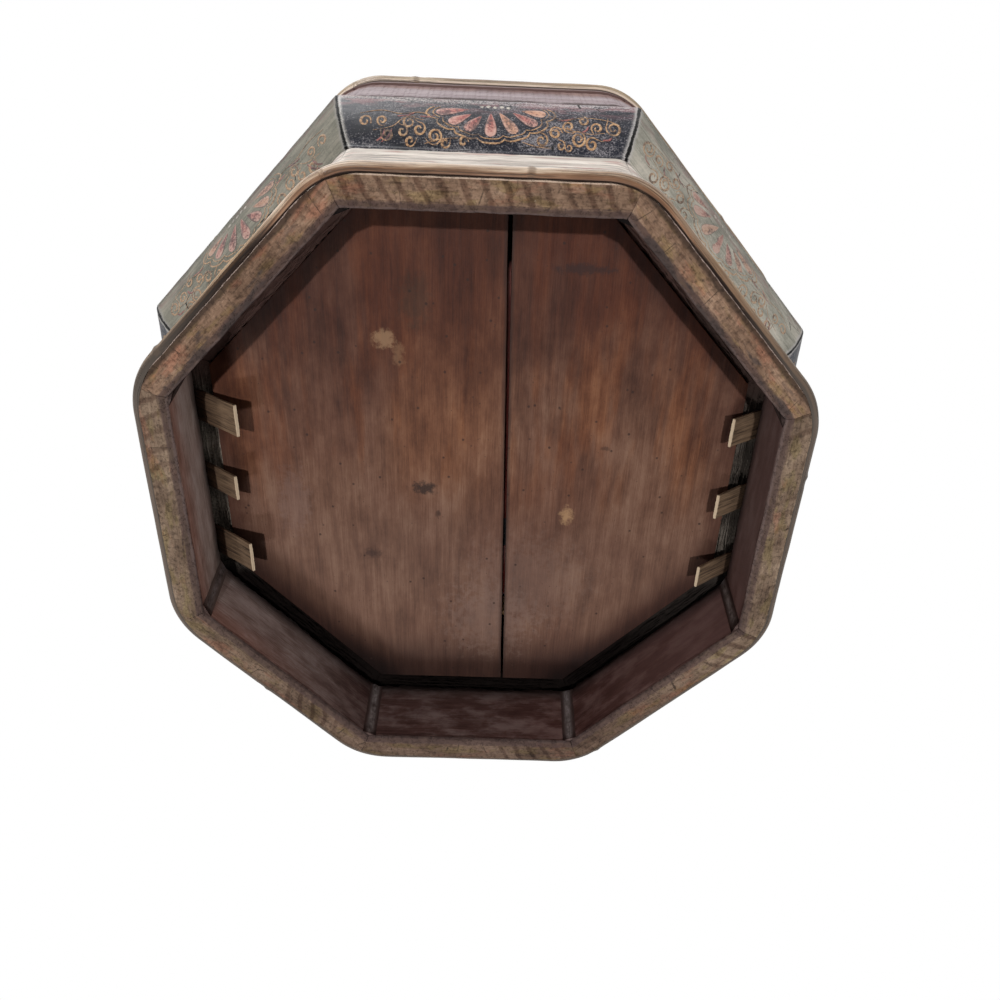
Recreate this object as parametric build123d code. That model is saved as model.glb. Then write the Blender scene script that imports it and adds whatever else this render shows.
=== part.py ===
"""Octagonal lacquered bamboo wedding basket with a lid that lifts off.

Millimetres, Z up. The origin is the centre of the plane that the foot stands on, and the
front side faces -Y. Every across-flats size is given as its half, the apothem: the distance
from the basket's axis to the middle of a side.
"""

from build123d import *
from math import cos, radians, sin, sqrt
import os

# The eight sides, named as seen from the front, with the way each one faces in degrees.
SIDES = {
    "front": -90,
    "front_right": -45,
    "right": 0,
    "back_right": 45,
    "back": 90,
    "back_left": 135,
    "left": 180,
    "front_left": -135,
}
HALF_SIDE_ANGLE = 22.5

# Foot boards: upright at the ground, where the hoop sits, then leaning out to the panels. The
# outer corners are well rounded under the hoop and tighten towards the panels. Inside, each
# board thins to a ledge and thins again above it.
foot_apothem = 159.5
foot_height = 73.0
foot_lean = 2.9
foot_face = 14.0
foot_arris = 3.2
foot_arris_height = 2.4
foot_ledge_height = 54.0
foot_ledge_wall = 8.9
foot_recess_wall = 4.5
foot_corner_radius = 40.0
foot_top_corner_radius = 12.0

# Foot hoop: a bamboo pole split in half, bent round the foot.
foot_hoop_lift = 0.8
foot_hoop_height = 10.0
foot_hoop_proud = 4.2

# Strips glued over the foot's inner corner joints, measured along each wall.
corner_strip_leg = 4.4

# Floor: two planks that lie a little above the ledge, with an open seam right of the middle.
floor_rise = 3.0
floor_thickness = 9.0
floor_side_gap = 13.0
seam_offset = 15.8
seam_gap = 1.8
seam_skew = 1.4

# Bamboo fibre packed between the planks and the wall.
packing_inset = 2.6
packing_thickness = 5.6

# Bamboo slips wedged on the ledge and pointing in under the floor: the side, the place along
# that side, the width and the length.
slip_thickness = 1.6
slip_angle = 40.0
SLIPS = (
    ("left", 38.0, 17.0, 41.0),
    ("left", -2.5, 14.0, 33.0),
    ("left", -43.5, 17.5, 39.0),
    ("right", -38.0, 15.5, 29.0),
    ("right", 5.0, 14.5, 30.0),
    ("right", 48.0, 13.0, 36.0),
)

# Side panels: convex boards that flare from the foot to the rim.
panel_overhang = 0.6
panel_flare = 20.0
panel_height = 32.7
panel_bulge = 2.6
panel_foot_edge = 1.6
panel_foot_thickness = 6.7
panel_rim_thickness = 8.5

# Woven bamboo wall, leaning out from the panels to the rim, its corners rounder towards the rim.
wall_inset = 2.0
wall_height = 62.3
wall_lean = 5.8
wall_thickness = 4.5
wall_foot_corner_radius = 12.0

# Rim rails, with the hoop high on their upright face.
rail_step = 0.4
rail_thickness = 10.0
rail_height = 29.0
rail_corner_radius = 42.0
rim_hoop_lift = 17.0
rim_hoop_height = 11.0
rim_hoop_proud = 2.9

# Collar: thin strips inside the rim that stand proud of it and locate the lid.
collar_thickness = 4.0
collar_depth = 16.0
collar_proud = 7.0

# Lid rails and hoop. The gap is the play between the collar and the lid.
lid_gap = 0.8
lid_rail_thickness = 8.0
lid_rail_height = 14.0
lid_rail_bevel = 2.6
lid_hoop_lift = 1.4
lid_hoop_height = 9.0
lid_hoop_proud = 3.0

# Lid shoulder panels and the two planks of the top.
shoulder_step = 1.2
shoulder_run = 31.0
shoulder_height = 25.0
shoulder_bulge = 4.2
shoulder_thickness = 8.0
top_step = 1.0
top_thickness = 8.0
top_seam_offset = 9.0
top_seam_gap = 0.6
top_corner_radius = 30.0
top_hoop_height = 7.0
top_hoop_proud = 3.0

# Heights and faces that follow from the sizes above.
hoop_zone = foot_hoop_lift + foot_hoop_height
foot_top_apothem = foot_apothem + foot_lean
foot_ledge_apothem = foot_apothem - foot_ledge_wall
foot_recess_apothem = foot_apothem - foot_recess_wall
floor_height = foot_ledge_height + floor_rise
panel_foot_apothem = foot_top_apothem + panel_overhang
panel_rim_apothem = panel_foot_apothem + panel_flare
panel_top = foot_height + panel_height
wall_foot_apothem = panel_rim_apothem - wall_inset
wall_top_apothem = wall_foot_apothem + wall_lean
wall_top = panel_top + wall_height
rail_apothem = wall_top_apothem + rail_step
rail_inner = rail_apothem - rail_thickness
rim_top = wall_top + rail_height
lid_inner = rail_inner + lid_gap
lid_apothem = lid_inner + lid_rail_thickness
lid_rail_top = rim_top + lid_rail_height
shoulder_apothem = lid_apothem - lid_rail_bevel - shoulder_step
top_apothem = shoulder_apothem - shoulder_run
shoulder_top = lid_rail_top + shoulder_height
top_height = shoulder_top + top_step
basket_top = top_height + top_thickness

# Half of a side's length for each millimetre of apothem, and room to cut beyond the object.
SIDE_SHARE = sin(radians(HALF_SIDE_ANGLE)) / cos(radians(HALF_SIDE_ANGLE))
SPARE = 30.0
REACH = rail_apothem + SPARE


def octagon(apothem, height, corner_radius=0.0):
    """A level octagon with its sides facing the eight ways, its corners rounded if asked."""
    face = RegularPolygon(apothem, 8, major_radius=False, rotation=HALF_SIDE_ANGLE)
    if corner_radius > 0:
        face = fillet(face.vertices(), corner_radius)
    return Pos(0, 0, height) * face


def between(lower, upper):
    """The straight-walled solid between two level faces."""
    return loft([lower, upper], ruled=True)


def section(*pieces):
    """A closed section from its lines and arcs, X away from the axis and Y upwards."""
    return Plane.XZ * make_face(Curve() + list(pieces))


def polygon(*points):
    """A closed section with straight sides."""
    return Plane.XZ * make_face(Polyline(*points, close=True))


def mitred(outline):
    """The bar that a section gives on the +X side, cut at the two mitres."""
    run = REACH * SIDE_SHARE + SPARE
    bar = extrude(outline, amount=run, dir=(0, 1, 0), both=True)
    edge = REACH + SPARE
    wedge = make_face(
        Polyline((0, 0), (edge, -edge * SIDE_SHARE), (edge, edge * SIDE_SHARE), close=True)
    )
    return bar & extrude(wedge, amount=basket_top + SPARE)


def arc_between(start, end, bulge):
    """An arc that leaves the straight line between two points by the bulge, to its right."""
    run, rise = end[0] - start[0], end[1] - start[1]
    length = sqrt(run**2 + rise**2)
    middle = (
        (start[0] + end[0]) / 2 + bulge * rise / length,
        (start[1] + end[1]) / 2 - bulge * run / length,
    )
    return ThreePointArc(start, middle, end)


def hoop(apothem, corner_radius, bottom, height, proud):
    """A split bamboo pole bent round an octagon, its flat side against it."""
    path = octagon(apothem, bottom, corner_radius).face().outer_wire()
    top = (apothem, bottom + height)
    crest = (apothem + proud, bottom + height / 2)
    flat = Line(top, (apothem, bottom))
    back = ThreePointArc((apothem, bottom), crest, top)
    return sweep(section(flat, back), path=path)


def write(shape, name):
    """Writes one piece."""
    export_step(shape, f"parts/{name}.step")


def write_sides(shape, name):
    """Writes one copy of a piece for each of the eight sides."""
    for side, facing in SIDES.items():
        write(Rot(0, 0, facing) * shape, f"{name}_{side}")


def foot_board():
    """One of the eight boards of the foot, its outer corners shared with its neighbours."""
    arris = foot_apothem - foot_face + foot_arris
    outline = polygon(
        (REACH, 0),
        (REACH, foot_height),
        (foot_recess_apothem, foot_height),
        (foot_recess_apothem, foot_ledge_height),
        (foot_ledge_apothem, foot_ledge_height),
        (foot_apothem - foot_face, foot_arris_height),
        (arris, 0),
    )
    upright = between(
        octagon(foot_apothem, 0, foot_corner_radius),
        octagon(foot_apothem, hoop_zone, foot_corner_radius),
    )
    leaning = between(
        octagon(foot_apothem, hoop_zone, foot_corner_radius),
        octagon(foot_top_apothem, foot_height, foot_top_corner_radius),
    )
    return mitred(outline) & (upright + leaning)


def corner_strips():
    """The eight strips over the inner corner joints, between the arris and the ledge."""
    low = octagon(foot_apothem - foot_face, foot_arris_height)
    high = octagon(foot_ledge_apothem, foot_ledge_height)
    low_cut = chamfer(low.vertices(), corner_strip_leg)
    high_cut = chamfer(high.vertices(), corner_strip_leg)
    return between(low, high) - between(low_cut, high_cut)


def floor_planks():
    """The two planks of the floor, left and right of the seam."""
    apothem = foot_recess_apothem - floor_side_gap
    whole = extrude(octagon(apothem, floor_height), amount=floor_thickness)
    seam = Box(seam_gap, 2 * REACH, floor_thickness + SPARE)
    place = Pos(seam_offset, 0, floor_height + floor_thickness / 2) * Rot(0, 0, -seam_skew)
    return (whole - place * seam).solids().sort_by(Axis.X)


def floor_packing():
    """Eight lengths of fibre packing, one along each edge of the floor."""
    low = floor_height + packing_inset
    plank = foot_recess_apothem - floor_side_gap
    length = mitred(
        polygon(
            (plank, low),
            (foot_recess_apothem, low),
            (foot_recess_apothem, low + packing_thickness),
            (plank, low + packing_thickness),
        )
    )
    return Compound([Rot(0, 0, facing) * length for facing in SIDES.values()])


def floor_slip(along, width, length):
    """One slip on the +X side: it rests on the ledge's edge and butts against the recess."""
    tilt = radians(slip_angle)
    run = (foot_recess_apothem - foot_ledge_apothem) / cos(tilt)
    out = (foot_recess_apothem, foot_ledge_height + run * sin(tilt))
    end = (out[0] - length * cos(tilt), out[1] - length * sin(tilt))
    up = (-slip_thickness * sin(tilt), slip_thickness * cos(tilt))
    face = polygon(
        out, (out[0] + up[0], out[1] + up[1]), (end[0] + up[0], end[1] + up[1]), end
    )
    return Pos(0, along, 0) * extrude(face, amount=width / 2, dir=(0, 1, 0), both=True)


def side_panel():
    """One convex side panel, thin at the foot and thicker at the rim."""
    foot_in = (panel_foot_apothem - panel_foot_thickness, foot_height)
    rim_in = (panel_rim_apothem - panel_rim_thickness, panel_top)
    foot_out = (panel_foot_apothem, foot_height)
    foot_edge = (panel_foot_apothem, foot_height + panel_foot_edge)
    rim_out = (panel_rim_apothem, panel_top)
    return mitred(
        section(
            Line(foot_in, foot_out),
            Line(foot_out, foot_edge),
            arc_between(foot_edge, rim_out, panel_bulge),
            Line(rim_out, rim_in),
            arc_between(foot_in, rim_in, panel_bulge),
        )
    )


def rounded(bar, apothem, corner_radius, bottom, height):
    """A mitred bar with its share of the rounded outer corners."""
    return bar & extrude(octagon(apothem, bottom, corner_radius), amount=height)


def body_wall():
    """The woven wall in its eight sides, each leaning out to the rim."""
    bar = mitred(
        polygon(
            (wall_foot_apothem - wall_thickness, panel_top),
            (REACH, panel_top),
            (REACH, wall_top),
            (wall_top_apothem - wall_thickness, wall_top),
        )
    )
    outside = between(
        octagon(wall_foot_apothem, panel_top, wall_foot_corner_radius),
        octagon(wall_top_apothem, wall_top, rail_corner_radius),
    )
    side = bar & outside
    return Compound([Rot(0, 0, facing) * side for facing in SIDES.values()])


def rim_rail():
    """One of the eight rails round the rim."""
    bar = mitred(
        polygon(
            (rail_inner, wall_top),
            (rail_apothem, wall_top),
            (rail_apothem, rim_top),
            (rail_inner, rim_top),
        )
    )
    return rounded(bar, rail_apothem, rail_corner_radius, wall_top, rail_height)


def rim_collar():
    """The eight strips inside the rim that the lid drops over."""
    strip = mitred(
        polygon(
            (rail_inner - collar_thickness, rim_top - collar_depth),
            (rail_inner, rim_top - collar_depth),
            (rail_inner, rim_top + collar_proud),
            (rail_inner - collar_thickness, rim_top + collar_proud),
        )
    )
    return Compound([Rot(0, 0, facing) * strip for facing in SIDES.values()])


def lid_rail():
    """One of the eight rails of the lid, bevelled above its hoop."""
    bar = mitred(
        polygon(
            (lid_inner, rim_top),
            (lid_apothem, rim_top),
            (lid_apothem, lid_rail_top - lid_rail_bevel),
            (lid_apothem - lid_rail_bevel, lid_rail_top),
            (lid_inner, lid_rail_top),
        )
    )
    return rounded(bar, lid_apothem, rail_corner_radius, rim_top, lid_rail_height)


def lid_panel():
    """One convex shoulder panel of the lid, from its rail up to the top planks."""
    low_out = (shoulder_apothem, lid_rail_top)
    low_in = (shoulder_apothem - shoulder_thickness, lid_rail_top)
    high_out = (top_apothem, shoulder_top)
    high_in = (top_apothem - shoulder_thickness, shoulder_top)
    return mitred(
        section(
            Line(low_in, low_out),
            arc_between(low_out, high_out, shoulder_bulge),
            Line(high_out, high_in),
            arc_between(low_in, high_in, shoulder_bulge),
        )
    )


def lid_top_planks():
    """The two planks of the lid's top, left and right of the seam."""
    face = octagon(top_apothem, shoulder_top, top_corner_radius)
    whole = extrude(face, amount=top_step + top_thickness)
    middle = shoulder_top + (top_step + top_thickness) / 2
    seam = Box(top_seam_gap, 2 * REACH, top_thickness + SPARE)
    return (whole - Pos(top_seam_offset, 0, middle) * seam).solids().sort_by(Axis.X)


os.makedirs("parts", exist_ok=True)

write_sides(foot_board(), "foot_board")
write(
    hoop(foot_apothem, foot_corner_radius, foot_hoop_lift, foot_hoop_height, foot_hoop_proud),
    "foot_hoop",
)
write(corner_strips(), "foot_corner_strips")

left_plank, right_plank = floor_planks()
write(left_plank, "floor_plank_left")
write(right_plank, "floor_plank_right")
write(floor_packing(), "floor_packing")
for number, (side, along, width, length) in enumerate(SLIPS, start=1):
    slip = Rot(0, 0, SIDES[side]) * floor_slip(along, width, length)
    write(slip, f"floor_slip_{number}_{side}")

write_sides(side_panel(), "side_panel")
write(body_wall(), "body_wall")
write_sides(rim_rail(), "rim_rail")
write(
    hoop(
        rail_apothem,
        rail_corner_radius,
        wall_top + rim_hoop_lift,
        rim_hoop_height,
        rim_hoop_proud,
    ),
    "rim_hoop",
)
write(rim_collar(), "rim_collar")

write_sides(lid_rail(), "lid_rail")
write(
    hoop(
        lid_apothem,
        rail_corner_radius,
        rim_top + lid_hoop_lift,
        lid_hoop_height,
        lid_hoop_proud,
    ),
    "lid_hoop",
)
write_sides(lid_panel(), "lid_panel")
left_top, right_top = lid_top_planks()
write(left_top, "lid_top_left")
write(right_top, "lid_top_right")
write(
    hoop(top_apothem, top_corner_radius, shoulder_top + top_step, top_hoop_height, top_hoop_proud),
    "lid_top_hoop",
)
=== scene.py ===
"""Octagonal wedding basket of lacquered wood and bamboo, seen from below its hollow foot.

Sizes are in millimetres, as the basket's maker would give them. MM turns them into metres.
"""

import random
from math import atan2, ceil, cos, degrees, hypot, pi, radians, sin, sqrt, tan

import bpy
import numpy as np
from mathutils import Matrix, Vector, noise


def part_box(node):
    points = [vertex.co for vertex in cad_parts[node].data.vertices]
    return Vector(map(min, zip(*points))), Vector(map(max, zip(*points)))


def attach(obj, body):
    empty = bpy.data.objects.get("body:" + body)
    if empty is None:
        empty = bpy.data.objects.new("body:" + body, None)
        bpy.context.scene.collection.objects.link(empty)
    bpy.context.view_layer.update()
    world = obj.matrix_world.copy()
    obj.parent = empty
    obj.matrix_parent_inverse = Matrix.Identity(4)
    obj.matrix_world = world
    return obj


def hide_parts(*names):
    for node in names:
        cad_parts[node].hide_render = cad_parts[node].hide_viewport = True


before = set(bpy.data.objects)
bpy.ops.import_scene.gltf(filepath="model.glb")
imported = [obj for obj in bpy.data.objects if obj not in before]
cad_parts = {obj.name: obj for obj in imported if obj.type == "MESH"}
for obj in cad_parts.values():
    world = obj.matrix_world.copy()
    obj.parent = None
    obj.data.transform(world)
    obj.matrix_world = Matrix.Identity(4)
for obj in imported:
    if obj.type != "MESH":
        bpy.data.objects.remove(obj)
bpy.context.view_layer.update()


# Foot boards
# Eight boards of coarse ring-porous wood, mitred and glued into an octagon. The face that stands
# on the ground is bare and weathered, the inside is dark red lacquer, and the outside is worn.

MM = 0.001
SIDES = {
    "front": -90,
    "front_right": -45,
    "right": 0,
    "back_right": 45,
    "back": 90,
    "back_left": 135,
    "left": 180,
    "front_left": -135,
}
HALF_TURN = radians(22.5)
HALF_SHARE = tan(HALF_TURN)


class Tone:
    """One socket of a finish. Sums with it add Math nodes to the same finish."""

    def __init__(self, finish, socket):
        self.finish = finish
        self.socket = socket

    def sum(self, operation, *values):
        return self.finish.node("ShaderNodeMath", {"operation": operation}, dict(enumerate(values)))

    def __add__(self, other):
        return self.sum("ADD", self, other)

    def __radd__(self, other):
        return self.sum("ADD", other, self)

    def __sub__(self, other):
        return self.sum("SUBTRACT", self, other)

    def __rsub__(self, other):
        return self.sum("SUBTRACT", other, self)

    def __mul__(self, other):
        return self.sum("MULTIPLY", self, other)

    def __rmul__(self, other):
        return self.sum("MULTIPLY", other, self)

    def __abs__(self):
        return self.sum("ABSOLUTE", self)

    def wave(self):
        """From 0 to 1 and back with every whole number."""
        return self.sum("PINGPONG", self * 2, 1.0)

    def least(self, other):
        return self.sum("MINIMUM", self, other)

    def most(self, other):
        return self.sum("MAXIMUM", self, other)

    def rise(self, low, high):
        """A soft step from 0 at low to 1 at high, or back from 1 where high is the lower."""
        inputs = {"Value": self, "From Min": low, "From Max": high}
        return self.finish.node("ShaderNodeMapRange", {"interpolation_type": "SMOOTHSTEP"}, inputs)

    def coated(self, share, paint):
        """This colour under a share of another."""
        return self.finish.mix(share, self, paint)

    def stained(self, dye, share=1.0):
        """This colour multiplied by a share of another."""
        return self.finish.mix(share, self, dye, "MULTIPLY")


class Finish:
    """A material in the making: node() adds one node and gives back an output of it."""

    def __init__(self, name):
        self.material = bpy.data.materials.new(name)
        self.material.use_nodes = True
        self.tree = self.material.node_tree
        self.tree.nodes.clear()

    def node(self, kind, settings=None, inputs=None, output=0):
        added = self.tree.nodes.new(kind)
        settings = dict(settings or {})
        stops = settings.pop("stops", None)
        for setting, value in settings.items():
            setattr(added, setting, value)
        if stops:
            ramp = added.color_ramp.elements
            while len(ramp) < len(stops):
                ramp.new(1.0)
            for element, (position, colour) in zip(ramp, stops):
                element.position = position
                element.color = (*colour, 1.0)
        by_name = {socket.identifier: socket for socket in added.inputs}
        for place, value in (inputs or {}).items():
            socket = by_name[place] if place in by_name else added.inputs[place]
            if isinstance(value, Tone):
                self.tree.links.new(value.socket, socket)
            elif isinstance(value, tuple) and socket.type == "RGBA":
                socket.default_value = (*value, 1.0)
            else:
                socket.default_value = value
        return Tone(self, added.outputs[output]) if added.outputs else None

    def attribute(self, name, output="Vector"):
        return self.node("ShaderNodeAttribute", {"attribute_name": name}, output=output)

    def where(self):
        """The place in the frame, in metres."""
        return self.node("ShaderNodeTexCoord", output="Object")

    def parts(self, vector):
        """The three numbers of a vector."""
        split = self.node("ShaderNodeSeparateXYZ", inputs={"Vector": vector})
        return [Tone(self, socket) for socket in split.socket.node.outputs]

    def in_mm(self, where):
        """A place in the frame as millimetres to the right, to the back and up."""
        return self.parts(self.stretch(where, 1000.0, 1000.0, 1000.0))

    def length(self, vector):
        return self.node("ShaderNodeVectorMath", {"operation": "LENGTH"}, {0: vector}, output="Value")

    def stretch(self, vector, along, out, up, shift=(0.0, 0.0, 0.0)):
        """A place in millimetres scaled for a texture, and moved."""
        settings = {"operation": "MULTIPLY_ADD"}
        return self.node("ShaderNodeVectorMath", settings, {0: vector, 1: (along, out, up), 2: shift})

    def cloud(self, vector, scale=1.0, detail=3.0, roughness=0.55):
        """Soft noise from 0 to 1, mostly from 0.3 to 0.7."""
        inputs = {"Vector": vector, "Scale": scale, "Detail": detail, "Roughness": roughness}
        return self.node("ShaderNodeTexNoise", inputs=inputs)

    def grain(self, place, stretched, detail, roughness=0.55, shift=(0.0, 0.0, 0.0)):
        """Soft noise that runs along a piece, with its scale along it, out from it and up it."""
        return self.cloud(self.stretch(place, *stretched, shift), detail=detail, roughness=roughness)

    def cracks(self, vector, scale=1.0):
        """Distance from the edges of random cells."""
        settings = {"feature": "DISTANCE_TO_EDGE"}
        return self.node("ShaderNodeTexVoronoi", settings, {"Vector": vector, "Scale": scale})

    def specks(self, vector, scale=1.0):
        """Distance from the middles of random cells."""
        return self.node("ShaderNodeTexVoronoi", inputs={"Vector": vector, "Scale": scale})

    def ramp(self, value, *stops):
        return self.node("ShaderNodeValToRGB", {"stops": stops}, {"Fac": value})

    def mix(self, share, first, second, blend="MIX"):
        settings = {"data_type": "RGBA", "blend_type": blend}
        inputs = {"Factor_Float": share, "A_Color": first, "B_Color": second}
        return self.node("ShaderNodeMix", settings, inputs, output=2)

    def done(self, colour, roughness, height, depth, **constants):
        """The material, with a relief whose height of 0 to 1 stands for a depth in millimetres."""
        relief = {"Height": height, "Distance": depth * MM, "Strength": 1.0}
        bump = self.node("ShaderNodeBump", inputs=relief)
        inputs = {"Base Color": colour, "Roughness": roughness, "Normal": bump}
        for name, value in constants.items():
            inputs[name.replace("_", " ").title().replace("Ior", "IOR")] = value
        surface = self.node("ShaderNodeBsdfPrincipled", inputs=inputs)
        self.node("ShaderNodeOutputMaterial", inputs={"Surface": surface})
        return self.material


def softened(corners, radius, step):
    """A closed outline with rounded corners, and points a step apart on its straight runs."""
    corners = np.array(corners, float)
    rounded = []
    for before, corner, after in zip(np.roll(corners, 1, 0), corners, np.roll(corners, -1, 0)):
        start = corner + (before - corner) * min(0.45, radius / np.linalg.norm((before - corner)[:2]))
        end = corner + (after - corner) * min(0.45, radius / np.linalg.norm((after - corner)[:2]))
        rounded.append([start, (start + 2 * corner + end) / 4, end])
    points = []
    for arc, following in zip(rounded, rounded[1:] + rounded[:1]):
        run = following[0] - arc[2]
        count = max(1, ceil(np.linalg.norm(run[:2]) / step))
        points += arc + [arc[2] + run * i / count for i in range(1, count)]
    return np.array(points)


def outward(points):
    """Unit normals of a closed outline of (out, up) points, away from its inside."""
    chord = np.roll(points, -1, 0)[:, :2] - np.roll(points, 1, 0)[:, :2]
    normal = np.stack([chord[:, 1], -chord[:, 0]], 1)
    after = np.roll(points, -1, 0)
    turning = np.sum(points[:, 0] * after[:, 1] - after[:, 0] * points[:, 1])
    normal /= np.maximum(np.linalg.norm(normal, axis=1), 1e-9)[:, None]
    return normal if turning > 0 else -normal


def octagon_place(out, corner_radius, share):
    """Out from the axis and along the side, at a share of half a side with rounded corners."""
    radius = np.maximum(corner_radius, 1e-6)
    straight = (out - radius) * HALF_SHARE
    run = np.abs(share) * (straight + radius * HALF_TURN)
    turn = np.maximum(0, run - straight) / radius
    along = np.minimum(run, straight) + radius * np.sin(turn)
    return out - radius * (1 - np.cos(turn)), np.sign(share) * along


def turned(facing, out, along, *up):
    """The x and y of a place out from the axis and along the side that faces so, and its height."""
    return (out * cos(facing) - along * sin(facing), out * sin(facing) + along * cos(facing), *up)


def mesh_object(name, points, faces, attributes, flat_angle=40):
    """A smooth-shaded mesh from points in millimetres, with a vector for each of its points."""
    mesh = bpy.data.meshes.new(name)
    mesh.from_pydata((np.asarray(points) * MM).tolist(), [], faces)
    for attribute, values in attributes.items():
        stored = mesh.attributes.new(attribute, "FLOAT_VECTOR", "POINT")
        stored.data.foreach_set("vector", np.asarray(values, np.float32).ravel())
    mesh.polygons.foreach_set("use_smooth", [True] * len(mesh.polygons))
    mesh.set_sharp_from_angle(angle=radians(flat_angle))
    made = bpy.data.objects.new(name, mesh)
    bpy.context.scene.collection.objects.link(made)
    return made


def tube_faces(rows, ring, closed=False, base=0):
    """Faces of a skin over rows of ring points, with its two ends capped unless it closes.

    The base is how many points the mesh holds already.
    """
    faces = []
    for row in range(rows if closed else rows - 1):
        for i in range(ring):
            j = (i + 1) % ring
            following = (row + 1) % rows
            faces.append((row * ring + i, row * ring + j, following * ring + j, following * ring + i))
    if not closed:
        faces.append(tuple(range(ring))[::-1])
        faces.append(tuple((rows - 1) * ring + i for i in range(ring)))
    return [tuple(base + i for i in face) for face in faces]


TEXTURE_APART = 400
WEAR_APART = 313


def side_bar(name, side, outline, joint=0.12, arris=0.6, step=2.5, wear=0.12, wear_size=9.0):
    """A bar that runs along one side of the octagon, mitred at both ends and a little uneven.

    The outline holds (out, up, corner radius) points. The mesh keeps for each of its points the
    place in the board, far apart for two sides so that no grain repeats, and the way that it
    faces with its distance from the mitre.
    """
    facing = radians(SIDES[side])
    number = list(SIDES).index(side)
    reach = outline[:, 0].max() * HALF_SHARE
    ends = 1 - arris / reach * np.array([0.0, 0.08, 0.3, 0.6, 1.0])
    middle = np.linspace(-ends[-1], ends[-1], int(2 * reach / step))
    shares = np.concatenate([-ends[:-1], middle, ends[:-1][::-1]])
    normal = outward(outline)
    points, places, facings = [], [], []
    for share in shares:
        near_end = max(0.0, (abs(share) - ends[-1]) / (1 - ends[-1]))
        sunk = arris * (1 - sqrt(1 - near_end**2))
        out, along = octagon_place(outline[:, 0], outline[:, 2], share)
        along = along * (1 - joint / reach)
        out, up = out - normal[:, 0] * sunk, outline[:, 1] - normal[:, 1] * sunk
        mitre = np.maximum(outline[:, 0] * HALF_SHARE - np.abs(along), 0)
        for i in range(len(outline)):
            where = Vector((along[i] + WEAR_APART * number, out[i], up[i])) / wear_size
            lift = wear * (noise.noise(where) + 0.4 * noise.noise(where * 3.1) - 0.3)
            o, a, u = out[i] + normal[i, 0] * lift, along[i], up[i] + normal[i, 1] * lift
            points.append(turned(facing, o, a, u))
            places.append((along[i] + TEXTURE_APART * number, out[i], up[i]))
            facings.append((normal[i, 0], mitre[i], normal[i, 1]))
    faces = tube_faces(len(shares), len(outline))
    return mesh_object(name, points, faces, {"place": places, "facing": facings})


def fit(piece, body, slot, finish, *nodes):
    """Gives a piece its finish, and puts it in the place of the CAD nodes that it stands for."""
    piece.data.materials.append(finish)
    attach(piece, body)
    if nodes:
        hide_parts(*nodes)
    return piece


def extent(node):
    """How far a CAD node on the front reaches out and in, and its bottom and top."""
    low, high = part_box(node)
    return -low.y / MM, -high.y / MM, low.z / MM, high.z / MM


foot_top_out, foot_inner, _, foot_height = extent("foot_board_front")
foot_out = foot_inner + 14.0
foot_corner_radius = 40.0
foot_top_corner_radius = 12.0
foot_hoop_zone = 10.8
foot_arris = 3.2
foot_arris_height = 2.4
foot_recess = 155.0
foot_ledge = 150.6
foot_ledge_height = 54.0


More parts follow.
